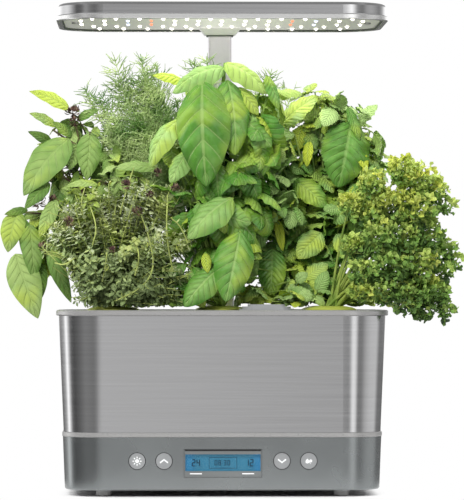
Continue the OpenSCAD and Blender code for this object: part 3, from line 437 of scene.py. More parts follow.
# %% Floor
FLOOR_R = 0.2
CORE_X, CORE_Y = 0.084, 0.042  # half sizes of the plan from which the distance is measured
FADE_FROM, FADE_TO = 0.03, 0.05
fresh()
bpy.ops.mesh.primitive_circle_add(vertices=96, radius=FLOOR_R, fill_type="NGON",
                                  location=(0, 0, -0.0002))
floor = bpy.context.object
floor.name = "floor"
pale = Finish("floor_pale", roughness=0.7)
ray = pale.add("ShaderNodeLightPath").socket.node
shown = Wire(pale, ray.outputs["Is Camera Ray"])
for name in ("Is Glossy Ray", "Is Transmission Ray"):
    shown = shown.maths("ADD", Wire(pale, ray.outputs[name]), clamp=True)
past_x, past_y = ((pale.from_middle(axis) - half).maths("MAXIMUM", 0.0)
                  for axis, half in (("X", CORE_X), ("Y", CORE_Y)))
outwards = (past_x * past_x + past_y * past_y).maths("SQRT")
fade = pale.span(outwards, FADE_FROM, FADE_TO, smooth=True) * shown
white = pale.add("ShaderNodeEmission", None, {0: (1, 1, 1)})
surface = pale.add("ShaderNodeMixShader", None, {0: fade, 1: Wire(pale, pale.bsdf.outputs[0]),
                                                 2: white})
pale.connect(pale.tree.nodes["Material Output"].inputs[0], surface)
pale.feed("Base Color", pale.mix(shown, (0.86, 0.86, 0.86), (1, 1, 1)))
floor.data.materials.append(pale.material)


# %% [markdown]
# Four soft panels light the garden, and one stands for the light of its own LEDs.

# %% Lamps
LIGHT_AIM = Vector((0, 0, 0.22))


def soft_panel(name, azimuth, distance, height, width, tall, watts):
    """A soft light that faces the garden. Azimuth 0 is in front, +90 is on the right."""
    data = bpy.data.lights.new(name, "AREA")
    data.shape = "RECTANGLE"
    data.size = width
    data.size_y = tall
    data.energy = watts
    lamp = added(name, data)
    lamp.visible_glossy = False
    a = math.radians(azimuth)
    lamp.location = (distance * math.sin(a), -distance * math.cos(a), height)
    aim = LIGHT_AIM - lamp.location
    lamp.rotation_euler = aim.to_track_quat("-Z", "Y").to_euler()


# name, azimuth, distance, height, width, tall, watts
soft_panel("left_panel", -100, 1.6, 0.6, 0.6, 1.2, 12)
soft_panel("right_panel", 100, 1.6, 0.6, 0.6, 1.2, 9)
soft_panel("front_panel", -20, 2.2, 1.7, 1.0, 0.7, 52)
soft_panel("top_panel", 160, 0.9, 1.6, 1.2, 1.0, 24)

# The light that the LEDs throw down on the leaves
soft_panel("grow_light", 0, 0.0, 0.374, 0.26, 0.13, 0.2)
print("lamps:", len(bpy.data.lights))


# %% [markdown]
# ## Control panel signs
# Small raised signs sit on the four button caps, and plain numbers on the display. Each sign is
# put together from flat primitives that stand out by a fraction of a millimetre, and the strokes
# are bevelled so that they catch the light as a pad print does.


# %% Flat signs
def pick(*objects):
    """Selects these objects alone, and makes the first one active."""
    fresh()
    for obj in objects:
        obj.select_set(True)
    bpy.context.view_layer.objects.active = objects[0]


def edit(operation, **settings):
    """Applies one mesh operation to the whole active object."""
    bpy.ops.object.mode_set(mode="EDIT")
    bpy.ops.mesh.select_all(action="SELECT")
    operation(**settings)
    bpy.ops.object.mode_set(mode="OBJECT")


def finished(obj, name, finish, body):
    """Names a piece, gives it a finish, bakes its place into its mesh and lets it ride.

    Without a body the piece is attached to no body, so it doesn't ride."""
    pick(obj)
    bpy.ops.object.transform_apply(location=True, rotation=True, scale=True)
    obj.name = name
    obj.data.name = name
    obj.data.materials.clear()
    obj.data.materials.append(finish.material)
    if body:
        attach(obj, body)
    return obj


def joined(objects):
    pick(*objects)
    bpy.ops.object.join()
    return bpy.context.object


def bar(x, z, width, height, y, depth, turn=0.0):
    """A small bar that faces the front, centred at x, z with its back at y."""
    fresh()
    bpy.ops.mesh.primitive_cube_add(size=1, location=(x, y - depth / 2, z),
                                    rotation=(0, turn, 0))
    obj = bpy.context.object
    obj.scale = (width, depth, height)
    bpy.ops.object.transform_apply(location=False, rotation=False, scale=True)
    edit(bpy.ops.mesh.bevel, offset=0.2 * min(width, height, depth), segments=1)
    return obj


def disc(x, z, radius, y, depth):
    """A flat round dot that faces the front, with its back at y."""
    fresh()
    bpy.ops.mesh.primitive_cylinder_add(vertices=32, radius=radius, depth=depth,
                                        location=(x, y - depth / 2, z),
                                        rotation=(math.pi / 2, 0, 0))
    return bpy.context.object


SIGN_T = 0.15 * MM
RAY_AT = 2.9 * MM  # from the sun's middle to the middle of a ray
# The white print carries a faint painted glow, though it is no lamp.
sign_white = moulded("sign_white", (0.88, 0.89, 0.89), 0.4)
sign_white.glow((1, 1, 1), 0.2)


def button_face(name):
    low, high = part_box(name)
    return (low.x + high.x) / 2, (low.z + high.z) / 2, low.y


def sun_sign(x, z, y):
    parts = [disc(x, z, 1.5 * MM, y, SIGN_T)]
    for i in range(8):
        a = i * math.pi / 4
        parts.append(bar(x + RAY_AT * math.sin(a), z + RAY_AT * math.cos(a), 0.8 * MM,
                         1.5 * MM, y, SIGN_T, a))
    return parts


def chevron_sign(x, z, y, up):
    tilt = math.radians(52)
    return [bar(x + side * 1.45 * MM, z, 1.15 * MM, 4.4 * MM, y, SIGN_T, up * side * -tilt)
            for side in (-1, 1)]


def leaf_sign(x, z, y):
    """A drop beside a small leaf: a plain plant-food sign."""
    return [disc(x - 1.2 * MM, z - 0.5 * MM, 1.5 * MM, y, SIGN_T),
            disc(x + 1.5 * MM, z + 0.1 * MM, 1.2 * MM, y, SIGN_T),
            bar(x - 1.2 * MM, z + 1.1 * MM, 1.3 * MM, 1.3 * MM, y, SIGN_T, math.pi / 4),
            bar(x + 0.9 * MM, z - 1.5 * MM, 0.4 * MM, 2.2 * MM, y, SIGN_T, -math.pi / 5)]


SIGNS = {"button_light": sun_sign, "button_feed": leaf_sign,
         "button_up": lambda *p: chevron_sign(*p, 1),
         "button_down": lambda *p: chevron_sign(*p, -1)}
for name, draw in SIGNS.items():
    finished(joined(draw(*button_face(name))), name + "_sign", sign_white, name)

# %% [markdown]
# The display shows two figures, a boxed clock and two more figures. They are seven-segment
# numbers built from little bars, in a dark blue just in front of the backlight.

# %% Display numbers
SEGMENTS = {"0": "abcdef", "1": "bc", "2": "abged", "3": "abgcd", "4": "fgbc", "8": "abcdefg"}
window_low, window_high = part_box("display_window")
WINDOW_Z = (window_low.z + window_high.z) / 2
INK_Y = window_low.y - 0.02 * MM
INK_T = 0.06 * MM


def digit(char, x, z, width, height):
    t = 0.17 * height
    w, h = width / 2, height / 2
    spots = {"a": (0, h, width, t), "g": (0, 0, width, t), "d": (0, -h, width, t),
             "f": (-w, h / 2, t, h), "b": (w, h / 2, t, h), "e": (-w, -h / 2, t, h),
             "c": (w, -h / 2, t, h)}
    return [bar(x + spots[s][0], z + spots[s][1], spots[s][2], spots[s][3], INK_Y, INK_T)
            for s in SEGMENTS[char]]


BIG, SMALL, BIG_PITCH = (2.1 * MM, 5.0 * MM), (1.6 * MM, 3.6 * MM), 3.7
ink = []
for text, centre in (("24", -21.5), ("12", 21.0)):
    for i, char in enumerate(text):
        ink += digit(char, (centre + (i - 0.5) * BIG_PITCH) * MM, WINDOW_Z, *BIG)
for x, char in zip((-5.6, -2.6, 1.6, 4.6), "0830"):
    ink += digit(char, x * MM, WINDOW_Z, *SMALL)
for dz in (-0.8, 0.8):
    ink.append(bar(-0.5 * MM, WINDOW_Z + dz * MM, 0.5 * MM, 0.5 * MM, INK_Y, INK_T))
BOX_W, BOX_H, LINE = 22 * MM, 8.6 * MM, 0.4 * MM
for side in (-1, 1):
    ink.append(bar(0, WINDOW_Z + side * BOX_H / 2, BOX_W, LINE, INK_Y, INK_T))
    ink.append(bar(side * BOX_W / 2, WINDOW_Z, LINE, BOX_H, INK_Y, INK_T))
lcd_ink = moulded("lcd_ink", (0.006, 0.035, 0.07), 0.5)
finished(joined(ink), "display_numbers", lcd_ink, "base")

BEZEL_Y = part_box("display_bezel")[0].y
CAPTION_DROP, CAPTION_W, CAPTION_H = 2.1 * MM, 9.5 * MM, 0.9 * MM
captions = [bar(x * MM, window_low.z - CAPTION_DROP, CAPTION_W, CAPTION_H, BEZEL_Y, SIGN_T)
            for x in (-21.5, 20.0)]
finished(joined(captions), "caption_bars", sign_white, "base")

# %% [markdown]
# The dark ring round each button and the dark bar over the display are thin dark pieces of
# painted shade: they stand for the shade in the gap round a button and under the upper edge of
# the display's recess.

# %% Panel gaps
BUTTON_PROUD = 1.3 * MM
WALL_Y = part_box("button_light")[0].y + BUTTON_PROUD
RING_R, RING_WIRE = 6.65 * MM, 0.32 * MM
SHADOW_BAR_Z, SHADOW_BAR_W, SHADOW_BAR_H, SHADOW_BAR_T = (v * MM for v in (36.8, 60.4, 1.2, 0.1))
# Painted shade: a dark ring stands for the shade in the gap round each button.
rings = []
for name in SIGNS:
    x, z, _ = button_face(name)
    fresh()
    bpy.ops.mesh.primitive_torus_add(location=(x, WALL_Y, z), rotation=(math.pi / 2, 0, 0),
                                     major_radius=RING_R, minor_radius=RING_WIRE,
                                     major_segments=40, minor_segments=6)
    rings.append(bpy.context.object)
finished(joined(rings), "button_gap_rings", black_rubber, "base")
# Painted shadow: a dark bar stands for the shade under the display recess's upper edge.
panel_shadow_bar = bar(0, SHADOW_BAR_Z, SHADOW_BAR_W, SHADOW_BAR_H, BEZEL_Y, SHADOW_BAR_T)
finished(panel_shadow_bar, "panel_shadow_gap", black_rubber, "base")

# %% [markdown]
# ## Under the hood
# Each LED has a dome lens that hangs from the board. One dome is modelled, and it is copied along
# the rows. A dark seal runs round the board inside the lip, and a pale tapered collar joins the
# mast to the hood.

# %% LED domes
BOARD_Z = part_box("led_board")[0].z
DOME_R, DOME_H = 1.6 * MM, 1.5 * MM
fresh()
bpy.ops.mesh.primitive_uv_sphere_add(segments=14, ring_count=8, radius=1)
dome = bpy.context.object
dome.scale = (DOME_R, DOME_R, DOME_H)
bpy.ops.object.transform_apply(location=False, rotation=False, scale=True)
edit(bpy.ops.mesh.bisect, plane_co=(0, 0, 0), plane_no=(0, 0, 1), clear_outer=True, use_fill=True)
bpy.ops.object.shade_smooth()


def dome_at(x, y, size=1.0):
    copy = added("dome", dome.data.copy())
    copy.location = (x * MM, y * MM, BOARD_Z)
    copy.scale = (size, size, size)
    return copy


LED_PITCH = 19
LED_ROWS = ((-52, 12), (-30, 13), (10, 13), (33, 12))  # y and how many
BACK_ROW_Y, BACK_ROW = 59, (24, 40, 60, 80, 100)
RED_STEP, BLUE_STEP, CHIP_STEP = 3, 4, 3.4
domes = {"white": [], "red": [], "blue": []}
for y, count in LED_ROWS:
    for i in range(count):
        step = abs(i - (count - 1) / 2)
        x = (i - (count - 1) / 2) * LED_PITCH
        if step == RED_STEP:
            domes["red"] += [dome_at(x, y + k * CHIP_STEP, 0.75) for k in (-1, 0, 1)]
        else:
            domes["blue" if step == BLUE_STEP else "white"].append(dome_at(x, y))
for x in BACK_ROW:
    domes["white"] += [dome_at(side * x, BACK_ROW_Y) for side in (-1, 1)]
bpy.data.objects.remove(dome)
for colour, finish in (("white", led_warm), ("red", led_red), ("blue", led_cool)):
    piece = finished(joined(domes[colour]), colour + "_led_domes", finish, "lamp_hood")
    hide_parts(colour + "_leds")

# %% [markdown]
# The seal is a tube along the board's rounded rectangle. Tubes are curves made into meshes, and
# the stems of the herbs are made in the same way further down.


# %% Board seal and collar
def linked(name, data):
    """A new object of the scene, which is then the only one selected."""
    obj = added(name, data)
    pick(obj)
    return obj


def tubes(name, lines, depth, resolution, closed=False):
    """One mesh of round tubes. A line is its points and the radius at each, times the depth."""
    curve = bpy.data.curves.new(name, "CURVE")
    curve.dimensions = "3D"
    curve.bevel_depth, curve.bevel_resolution = depth, resolution
    curve.use_fill_caps = not closed
    for points, radii in lines:
        spline = curve.splines.new("POLY")
        spline.points.add(len(points) - 1)
        spline.points.foreach_set("co", np.column_stack((points, np.ones(len(points)))).ravel())
        spline.points.foreach_set("radius", radii)
        spline.use_cyclic_u = closed
    linked(name, curve)
    bpy.ops.object.convert(target="MESH")
    return bpy.context.object


CORNER_X, CORNER_Y = 95.5 * MM, 42 * MM
SEAL_R, SEAL_THICK = 32.9 * MM, 0.8 * MM
around = []
for quarter, (sx, sy) in enumerate(((1, 1), (-1, 1), (-1, -1), (1, -1))):
    for k in range(13):
        a = (quarter + k / 12) * math.pi / 2
        around.append((sx * CORNER_X + SEAL_R * math.cos(a), sy * CORNER_Y + SEAL_R * math.sin(a),
                       BOARD_Z - SEAL_THICK))
seal = tubes("board_seal", [(around, np.ones(len(around)))], SEAL_THICK, 1, closed=True)
seal_grey = moulded("seal_grey_green", (0.1, 0.115, 0.1), 0.5)
finished(seal, "board_seal", seal_grey, "lamp_hood")

neck_low, neck_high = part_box("hood_neck")
neck_y = (neck_low.y + neck_high.y) / 2


def tapered(name, top, foot, z_high, z_low, rounding):
    """A block that tapers from its top (width, depth) to its foot, with rounded edges."""
    fresh()
    bpy.ops.mesh.primitive_cube_add(size=1, location=(0, 0, 0))
    obj = bpy.context.object
    for point in obj.data.vertices:
        w, d = top if point.co.z > 0 else foot
        point.co.x, point.co.y = math.copysign(w / 2, point.co.x), math.copysign(d / 2, point.co.y)
        point.co.z = z_high if point.co.z > 0 else z_low
    obj.location = (0, neck_y, 0)
    edit(bpy.ops.mesh.bevel, offset=rounding, segments=3)
    bpy.ops.object.shade_smooth()
    return finished(obj, name, neck_white, "lamp_hood")


# Each block: width and depth at its top, the same at its foot, its two heights, its rounding
collar = tapered("hood_collar", (34.6 * MM, 23 * MM), (25 * MM, 17.5 * MM), neck_high.z,
                 neck_low.z - 0.6 * MM, 1.2 * MM)
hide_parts("hood_neck")
foot_line = tapered("hood_collar_foot", (22.5 * MM, 15 * MM), (22 * MM, 14.6 * MM),
                    neck_low.z - 0.5 * MM, neck_low.z - 1.5 * MM, 0.2 * MM)
foot_line.data.materials[0] = seal_grey.material

# %% [markdown]
# The lamp lead has slack inside the mast: its foot stays with the base and its head follows the
# hood. Here it is a plain cylinder, attached to neither body.

# %% Lamp lead
lead_low, lead_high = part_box("lamp_lead")
lead_middle = (lead_low + lead_high) / 2
fresh()
bpy.ops.mesh.primitive_cylinder_add(vertices=16, radius=(lead_high.x - lead_low.x) / 2,
                                    depth=lead_high.z - lead_low.z, location=lead_middle)
lead = finished(bpy.context.object, "lamp_lead_line", black_rubber, None)
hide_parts("lamp_lead")
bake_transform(lead)
print("hood details:", len(domes["white"]), "white LEDs")

# %% [markdown]
# ## How a herb is grown
# A herb is two pieces, its leaves and its stems. Real leaves are thin sheets that bend along
# their midrib, cup across it and wave at their edge. So each leaf starts as a grid primitive, a
# flat pattern, and is bent by formula as it is put in place: thousands of leaves can then differ
# from each other. All lengths here are in millimetres until the meshes are made.

# %% Leaf patterns
UP = np.array((0.0, 0.0, 1.0))


def unit(v):
    return v / (np.linalg.norm(v) + 1e-9)


def upright_part(v, axis):
    """What is left of v at a right angle to the axis."""
    return unit(v - np.dot(v, axis) * axis)


class Pattern:
    """A flat leaf: grid points (u from -1 to 1 across, v from 0 to 1 along) and its outline."""

    def __init__(self, across, along, widest, blunt, tooth=0.0):
        fresh()
        bpy.ops.mesh.primitive_grid_add(x_subdivisions=across, y_subdivisions=along, size=2)
        grid = bpy.context.object
        at = np.array([p.co[:2] for p in grid.data.vertices])
        self.u, self.v = at[:, 0], (at[:, 1] + 1) / 2
        self.faces = [tuple(p.vertices) for p in grid.data.polygons]
        bpy.data.objects.remove(grid)
        power = math.log(0.5) / math.log(widest)
        outline = np.sin(np.pi * self.v ** power).clip(0) ** blunt
        row = np.round(self.v * along).astype(int)
        notch = np.where((np.abs(self.u) > 0.99) & (row % 2 == 1), 1 - tooth, 1.0)
        self.half = outline * notch


class Curl(Pattern):
    """A frilly fan, as on curly parsley: its outline is lobed and its rim is ruffled."""

    def __init__(self, rings, spokes):
        super().__init__(spokes, rings, 0.5, 1.0)
        self.angle = self.u * 2.0
        self.lobes = 0.78 + 0.22 * np.cos(self.angle * 5)


# %% [markdown]
# A herb keeps clear of the mast, of the lid's sweep and of the bowl. It stays within reach, and
# out of the air at the upper left, where nothing grows. Its dice are seeded, so it comes out the
# same each time.

# %% The herb
MAST = (-15, 48.5, 148, 15, 73, 420)
LID_SWEEP = (9, -77, 140, 61, -41, 180)
UPPER_LEFT = (-210, -100, 236, -160, 100, 420)
KEEP_CLEAR = np.array((MAST, LID_SWEEP, UPPER_LEFT), float)  # low corner, high corner
REACH = (204, 94, 360)
BOWL = (136, 82, 150)
FLOOR_CLEARANCE = 8
DECK_CLEARANCE = 152  # below this a stem is in its pod
RUFFLE = 0.35


def rounded_line(points):
    """A smooth line along a few points: its corners are cut three times over."""
    line = np.array(points, float)
    for _ in range(3):
        a, b = line[:-1], line[1:]
        cut = np.stack((0.75 * a + 0.25 * b, 0.25 * a + 0.75 * b), axis=1).reshape(-1, 3)
        line = np.vstack((line[:1], cut, line[-1:]))
    return line


def distances(line):
    """How far along a line each of its points lies."""
    return np.concatenate(([0], np.cumsum(np.linalg.norm(np.diff(line, axis=0), axis=1))))


def point_at(line, run, at):
    return np.array([np.interp(at, run, line[:, i]) for i in range(3)])


chosen = []


def hides_chosen(points):
    """Whether a leaf would hide one of the leaves that were placed one by one."""
    for centre, axis, half_long, half_wide, y in chosen:
        off = points[:, ::2] - centre
        a = off @ axis / half_long
        b = (off[:, 0] * -axis[1] + off[:, 1] * axis[0]) / half_wide
        if ((a ** 2 + b ** 2 < 0.7) & (points[:, 1] < y + 3)).any():
            return True
    return False


def is_clear(points):
    """Whether none of the points is in the mast, the lid's sweep, the bowl or out of reach."""
    size = np.abs(points)
    if (size[:, 0] > REACH[0]).any() or (size[:, 1] > REACH[1]).any():
        return False
    if (points[:, 2] > REACH[2]).any() or (points[:, 2] < FLOOR_CLEARANCE).any():
        return False
    if ((size[:, 0] < BOWL[0]) & (size[:, 1] < BOWL[1]) & (points[:, 2] < BOWL[2])).any():
        return False
    return not any(((points > low_high[:3]) & (points < low_high[3:])).all(1).any()
                   for low_high in KEEP_CLEAR)


class Herb:
    """Collects the leaves and stems of one herb and turns them into two pieces."""

    roundness = 1

    def __init__(self, name, pod, seed, heart, radius):
        self.name = name
        self.crown = np.array((*pod, 150.0))
        self.heart = np.array(heart)
        self.radius = np.array(radius)
        self.dice = np.random.default_rng(seed)
        self.points, self.faces, self.uv, self.tone = [], [], [], []
        self.total = 0
        self.stems = []

    def one_of(self, low, high):
        return self.dice.uniform(low, high)

    def random_way(self):
        return unit(self.dice.normal(size=3))

    def put(self, pattern, shape, tone):
        """Adds bent points of a pattern. Tone is (hue shift, painted light level), each 0 to 1."""
        self.points.append(shape)
        self.faces += [tuple(self.total + i for i in face) for face in pattern.faces]
        self.uv.append(np.column_stack((pattern.u / 2 + 0.5, pattern.v)))
        self.tone.append(np.tile(np.clip(tone, 0, 1), (len(shape), 1)))
        self.total += len(shape)

    def leaf(self, pattern, foot, along, face, length, width, tone, droop=0.5, fold=0.12,
             cup=0.15, wave=0.0, waves=3, sickle=0.0, pucker=0.0, check=True):
        """A leaf from its foot. Along is its first direction, face is its upper side."""
        along = unit(along)
        face = upright_part(face, along)
        across = np.cross(along, face)
        u, v = pattern.u, pattern.v
        half = pattern.half * width / 2
        turn = droop * v + 1e-6
        y = length * np.sin(turn) / (droop + 1e-6)
        z = -length * (1 - np.cos(turn)) / (droop + 1e-6)
        rise = half * (fold * np.abs(u) - cup * u ** 2)
        phase = self.one_of(0, math.tau)
        rise += wave * half * u ** 2 * np.sin(math.tau * waves * v + phase + np.sign(u))
        blister = 1 - (2 * (((v - 0.22 * np.abs(u)) * 7) % 1) - 1) ** 2
        rise += pucker * half * blister * np.minimum(1, 4 * np.abs(u)) * (1.2 - np.abs(u))
        x = u * half + sickle * length * v ** 2
        y, z = y + rise * np.sin(turn), z + rise * np.cos(turn)
        shape = foot + np.outer(x, across) + np.outer(y, along) + np.outer(z, face)
        if check and (not is_clear(shape) or hides_chosen(shape)):
            return None
        self.put(pattern, shape, tone)
        return shape

    def leaf_to(self, pattern, foot, tip, face, width, tone, droop, **bend):
        """A leaf placed by its foot and its tip, arched towards its upper side."""
        foot, tip = np.array(foot, float), np.array(tip, float)
        chord = unit(tip - foot)
        face = upright_part(np.array(face, float), chord)
        along = chord * math.cos(droop / 2) + face * math.sin(droop / 2)
        length = np.linalg.norm(tip - foot) * (droop / 2) / math.sin(droop / 2)
        seen = (tip - foot)[::2]
        chosen.append(((foot + tip)[::2] / 2, unit(seen), np.linalg.norm(seen) / 2, width / 2,
                       (foot + tip)[1] / 2))
        return self.leaf(pattern, foot, along, face, length, width, tone, droop, check=False,
                         **bend)

    def curl(self, pattern, foot, along, face, radius, tone):
        """A frilly fan that opens from its foot."""
        along = unit(along)
        face = upright_part(face, along)
        across = np.cross(along, face)
        r = radius * pattern.v * pattern.lobes
        phase = self.one_of(0, math.tau)
        lift = RUFFLE * radius * pattern.v ** 1.5 * np.sin(pattern.angle * 4 + phase)
        shape = (foot + np.outer(r * np.sin(pattern.angle), across)
                 + np.outer(r * np.cos(pattern.angle), along) + np.outer(lift, face))
        if is_clear(shape):
            self.put(pattern, shape, tone)

    def path(self, start, end, lift, steps=9, sway=0.06):
        """A stem's line: it leaves the start upwards and bends over to the end."""
        start, end = np.array(start, float), np.array(end, float)
        span = np.linalg.norm(end - start)
        middle = start + 0.4 * (end - start) + UP * lift * span
        middle = middle + self.random_way() * sway * span
        t = np.linspace(0, 1, steps)[:, None]
        return (1 - t) ** 2 * start + 2 * t * (1 - t) * middle + t ** 2 * end

    def stem(self, line, thick, thin):
        """Keeps a stem, unless it would run through something."""
        outside = line[line[:, 2] > DECK_CLEARANCE]
        if len(outside) and not is_clear(outside):
            return False
        self.stems.append((line, np.linspace(thick, thin, len(line))))
        return True

    def brightness(self, at):
        """Painted shade: darker deep inside the plant, lighter high up, with a random change."""
        out = np.linalg.norm((at - self.heart) / self.radius)
        high = (at[2] - self.heart[2]) / self.radius[2]
        return np.clip(0.6 * out + 0.2 * high + 0.1, 0, 0.95) + self.one_of(-0.17, 0.17)

    def pieces(self, leaf_look, stem_look, node):
        """Makes the two meshes, which stand for the plant's plain solid."""
        made = [(self.leaf_piece(), leaf_look)] if self.points else []
        if self.stems:
            made.append((self.stem_piece(), stem_look))
        for piece, finish in made:
            finished(piece, piece.name, finish, "base")
            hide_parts(node)
            print(piece.name, "triangles:", sum(len(p.vertices) - 2 for p in piece.data.polygons))

    def leaf_piece(self):
        mesh = bpy.data.meshes.new(self.name + "_leaves")
        mesh.from_pydata((np.concatenate(self.points) * MM).tolist(), [], self.faces)
        corner = np.zeros(len(mesh.loops), int)
        mesh.loops.foreach_get("vertex_index", corner)
        for layer, values in (("leaf", self.uv), ("tone", self.tone)):
            mesh.uv_layers.new(name=layer).data.foreach_set(
                "uv", np.concatenate(values)[corner].ravel())
        piece = linked(self.name + "_leaves", mesh)
        edit(bpy.ops.mesh.remove_doubles, threshold=1e-6)
        bpy.ops.object.shade_smooth()
        return piece

    def stem_piece(self):
        lines = [(line * MM, np.asarray(radii) * MM) for line, radii in self.stems]
        piece = tubes(self.name + "_stems", lines, 1.0, self.roundness)
        bpy.ops.object.shade_smooth()
        return piece


# %% [markdown]
# A broad-leaved herb is grown in two ways. A sprig is a stem that bends from the crown out to a
# point of the foliage and carries pairs of leaves, each pair turned a quarter against the last.
# A bush is a ball of leaves that overlap like shingles, on stalks from the middle of the ball.

# %% Sprigs and bushes
RIM_Z = 148.3
POD_X, POD_FRONT, POD_BACK, POD_MID = 88, -32, 34, 22


def balls(tufts):
    """The middle and radius of each ball of foliage, which is (x, y, height, radius)."""
    for x, y, height, r in tufts:
        yield np.array((x, y, RIM_Z + height), float), r


def share(count, r, full=20):
    """How many fit a ball of radius r, if a full one holds the count: as its surface."""
    return round(count * (r / full) ** 2)


def species_leaf(herb, kind, place, along, face, size):
    """A leaf of the species with its stalk, which starts at the place."""
    along = unit(along)
    length = size * herb.one_of(0.8, 1.15)
    foot = place + along * kind["petiole"] * length
    tone = (herb.one_of(0, 1), herb.brightness(foot + along * length / 2))
    shape = herb.leaf(kind["pattern"], foot, along, face, length,
                      length * kind["ratio"] * herb.one_of(0.9, 1.1), tone,
                      droop=kind["droop"] * herb.one_of(0.5, 1.5),
                      sickle=herb.one_of(-0.1, 0.1), **kind["bend"])
    if shape is not None:
        herb.stems.append((np.array((place, foot, foot + along * 2)),
                           (kind["stem"] * 0.45, kind["stem"] * 0.35, 0.2)))


BARE_FOOT = 0.35  # the part of a sprig, from its foot, that carries no leaves
SPREAD = 0.75  # how far out in its ball of foliage a sprig may end


def grow_sprig(herb, tip, kind):
    """One stem with its leaf pairs. Kind holds the habit of the species."""
    line = herb.path(herb.crown, tip, 0.3, steps=12)
    if not herb.stem(line, kind["stem"], kind["stem"] * 0.5):
        return
    run = distances(line)
    at = run[-1]
    quarter = herb.one_of(0, math.pi)
    order = 0
    while at > run[-1] * BARE_FOOT and order < kind["pairs"]:
        place, before = point_at(line, run, at), point_at(line, run, at - 2)
        way = unit(place - before)
        side = upright_part(np.array((math.cos(quarter), 0.3, math.sin(quarter))), way)
        size = kind["length"] * (kind["young"] + (1 - kind["young"]) * min(1, order / 2.5))
        for sign in (-1, 1):
            lean = kind["lean"] + herb.one_of(-0.25, 0.25) + 0.12 * order
            along = unit(way * math.cos(lean) + sign * side * math.sin(lean))
            along = along - kind["weight"] * UP * min(order, 3) * 0.12
            species_leaf(herb, kind, place, along, way + 0.5 * UP + herb.random_way() * 0.25,
                         size)
        at -= kind["spacing"] * herb.one_of(0.8, 1.2) * (0.5 + 0.5 * min(1, order / 2))
        quarter += math.pi / 2 + herb.one_of(-0.2, 0.2)
        order += 1


def grow_bush(herb, tufts, kind, per_tuft, forward=0.35):
    """Overlapping leaves all round each ball of foliage."""
    for middle, r in balls(tufts):
        herb.stem(herb.path(herb.crown, middle, 0.2), kind["stem"], kind["stem"] * 0.6)
        for _ in range(share(per_tuft, r)):
            out = unit(herb.random_way() + (0, -forward, 0.25))
            place = middle + out * r * herb.one_of(0.0, 0.75)
            along = out * herb.one_of(0.3, 0.9) + herb.random_way() * 0.6 - 0.3 * UP
            face = out + 0.8 * UP + herb.random_way() * 0.35
            species_leaf(herb, kind, place, along, face, kind["length"] * herb.one_of(0.6, 1))


def grow_sprigs(herb, tufts, kind, per_tuft):
    """Sprigs to random points of each ball of foliage."""
    for middle, r in balls(tufts):
        for _ in range(max(1, share(per_tuft, r))):
            reach = herb.random_way() * r * SPREAD * herb.one_of(0.3, 1) ** 0.5
            grow_sprig(herb, middle + reach, kind)


small = Pattern(4, 8, 0.45, 0.7)
LOW_HEIGHT, LOW_R, LOW_LENGTH, LOW_STALK, LOW_COUNT = 5, 9, 15, 0.8, 150


def grow_low_leaves(herb, places, y, kind):
    """Small leaves just over the deck, which close the view between the crowns."""
    grow_bush(herb, [(x, y, LOW_HEIGHT, LOW_R) for x in places],
              dict(kind, pattern=small, length=LOW_LENGTH, stem=LOW_STALK), LOW_COUNT)


# %% [markdown]
# ## Leaf finishes
# A leaf's colour comes from its own UV map: a pale midrib, side veins that slant towards the
# tip, a blistered bump between them, and cloudy yellow-green patches. A second map holds one
# value pair for each leaf: a hue, so that some leaves are yellower, and a painted light level,
# so that those deep inside are painted darker, as in shade, and those out in the light lighter.
# The yellow shows only on the lighter leaves, partly their own colour and partly painted light.


# %% Leaf finish
def leaf_finish(name, colours, roughness, veins, slant=0.22, blister=1.0, vein_strength=0.35):
    """The colours are paints: dark, middle, light, yellow patches and veins."""
    f = Finish(name)
    dark, middle, light, warm, vein = (paint(*colour) for colour in colours)
    at = f.add("ShaderNodeUVMap", {"uv_map": "leaf"})
    tone = f.add("ShaderNodeUVMap", {"uv_map": "tone"})
    hue, bright = f.split(tone, "X"), f.split(tone, "Y")
    across = (f.split(at, "X") * 2 - 1).maths("ABSOLUTE")
    along = f.split(at, "Y")
    wave = ((along - slant * across) * veins).maths("FRACT")
    ridge = ((wave - 0.5).maths("ABSOLUTE")) * 2
    side_vein = f.span(ridge, 0.8, 1.0, smooth=True) * f.span(across, 0.6, 1.0, 1.0, 0.2)
    midrib = 1 - f.span(across, 0.03, 0.1, smooth=True)
    vein_mask = side_vein.maths("MAXIMUM", midrib)
    cloud = f.noise(70, detail=2)
    patch = f.span(f.noise(36, detail=1), 0.5, 0.64)
    # Painted shade and light: the tone's level darkens leaves deep inside and lightens lit ones.
    level = f.span(0.75 * bright + 0.45 * cloud - 0.12 * across * across, 0.15, 0.9)
    colour = f.ramp(level, (0.0, dark), (0.5, middle), (1.0, light))
    # The yellow shows only on lighter leaves: partly their own colour, partly painted light.
    yellow = (patch * 0.62).maths("MAXIMUM", f.span(hue, 0.78, 1.0)) * f.span(bright, 0.25, 0.6)
    colour = f.mix(yellow, colour, warm)
    colour = f.mix(vein_mask * vein_strength, colour, vein)
    f.feed("Base Color", colour)
    f.gloss(cloud, roughness, 0.06, 0.08)
    pillow = 1 - ridge * ridge
    height = pillow * 0.5 * blister - vein_mask * 0.6 + 0.25 * f.noise(260, detail=2)
    f.bump(height, 0.8, 0.0008)
    return f


def stem_finish(name, low, high, roughness=0.45):
    """Streaks between two paints."""
    f = Finish(name)
    streak = f.noise(60, detail=3)
    f.feed("Base Color", f.ramp(f.span(streak, 0.35, 0.65), (0.0, paint(*low)),
                                 (1.0, paint(*high))))
    f.gloss(streak, roughness, 0.05, 0.08)
    f.bump(f.noise(500, detail=2), 0.2, 0.0002)
    return f


print("leaf finishes ready")

# %% [markdown]
# ## Basil
# Sweet basil stands in the middle at the front: big, glossy, blistered leaves that arch over
# and hang. The large leaves that make its face are placed one by one. The rest are sprigs and
# bushes.

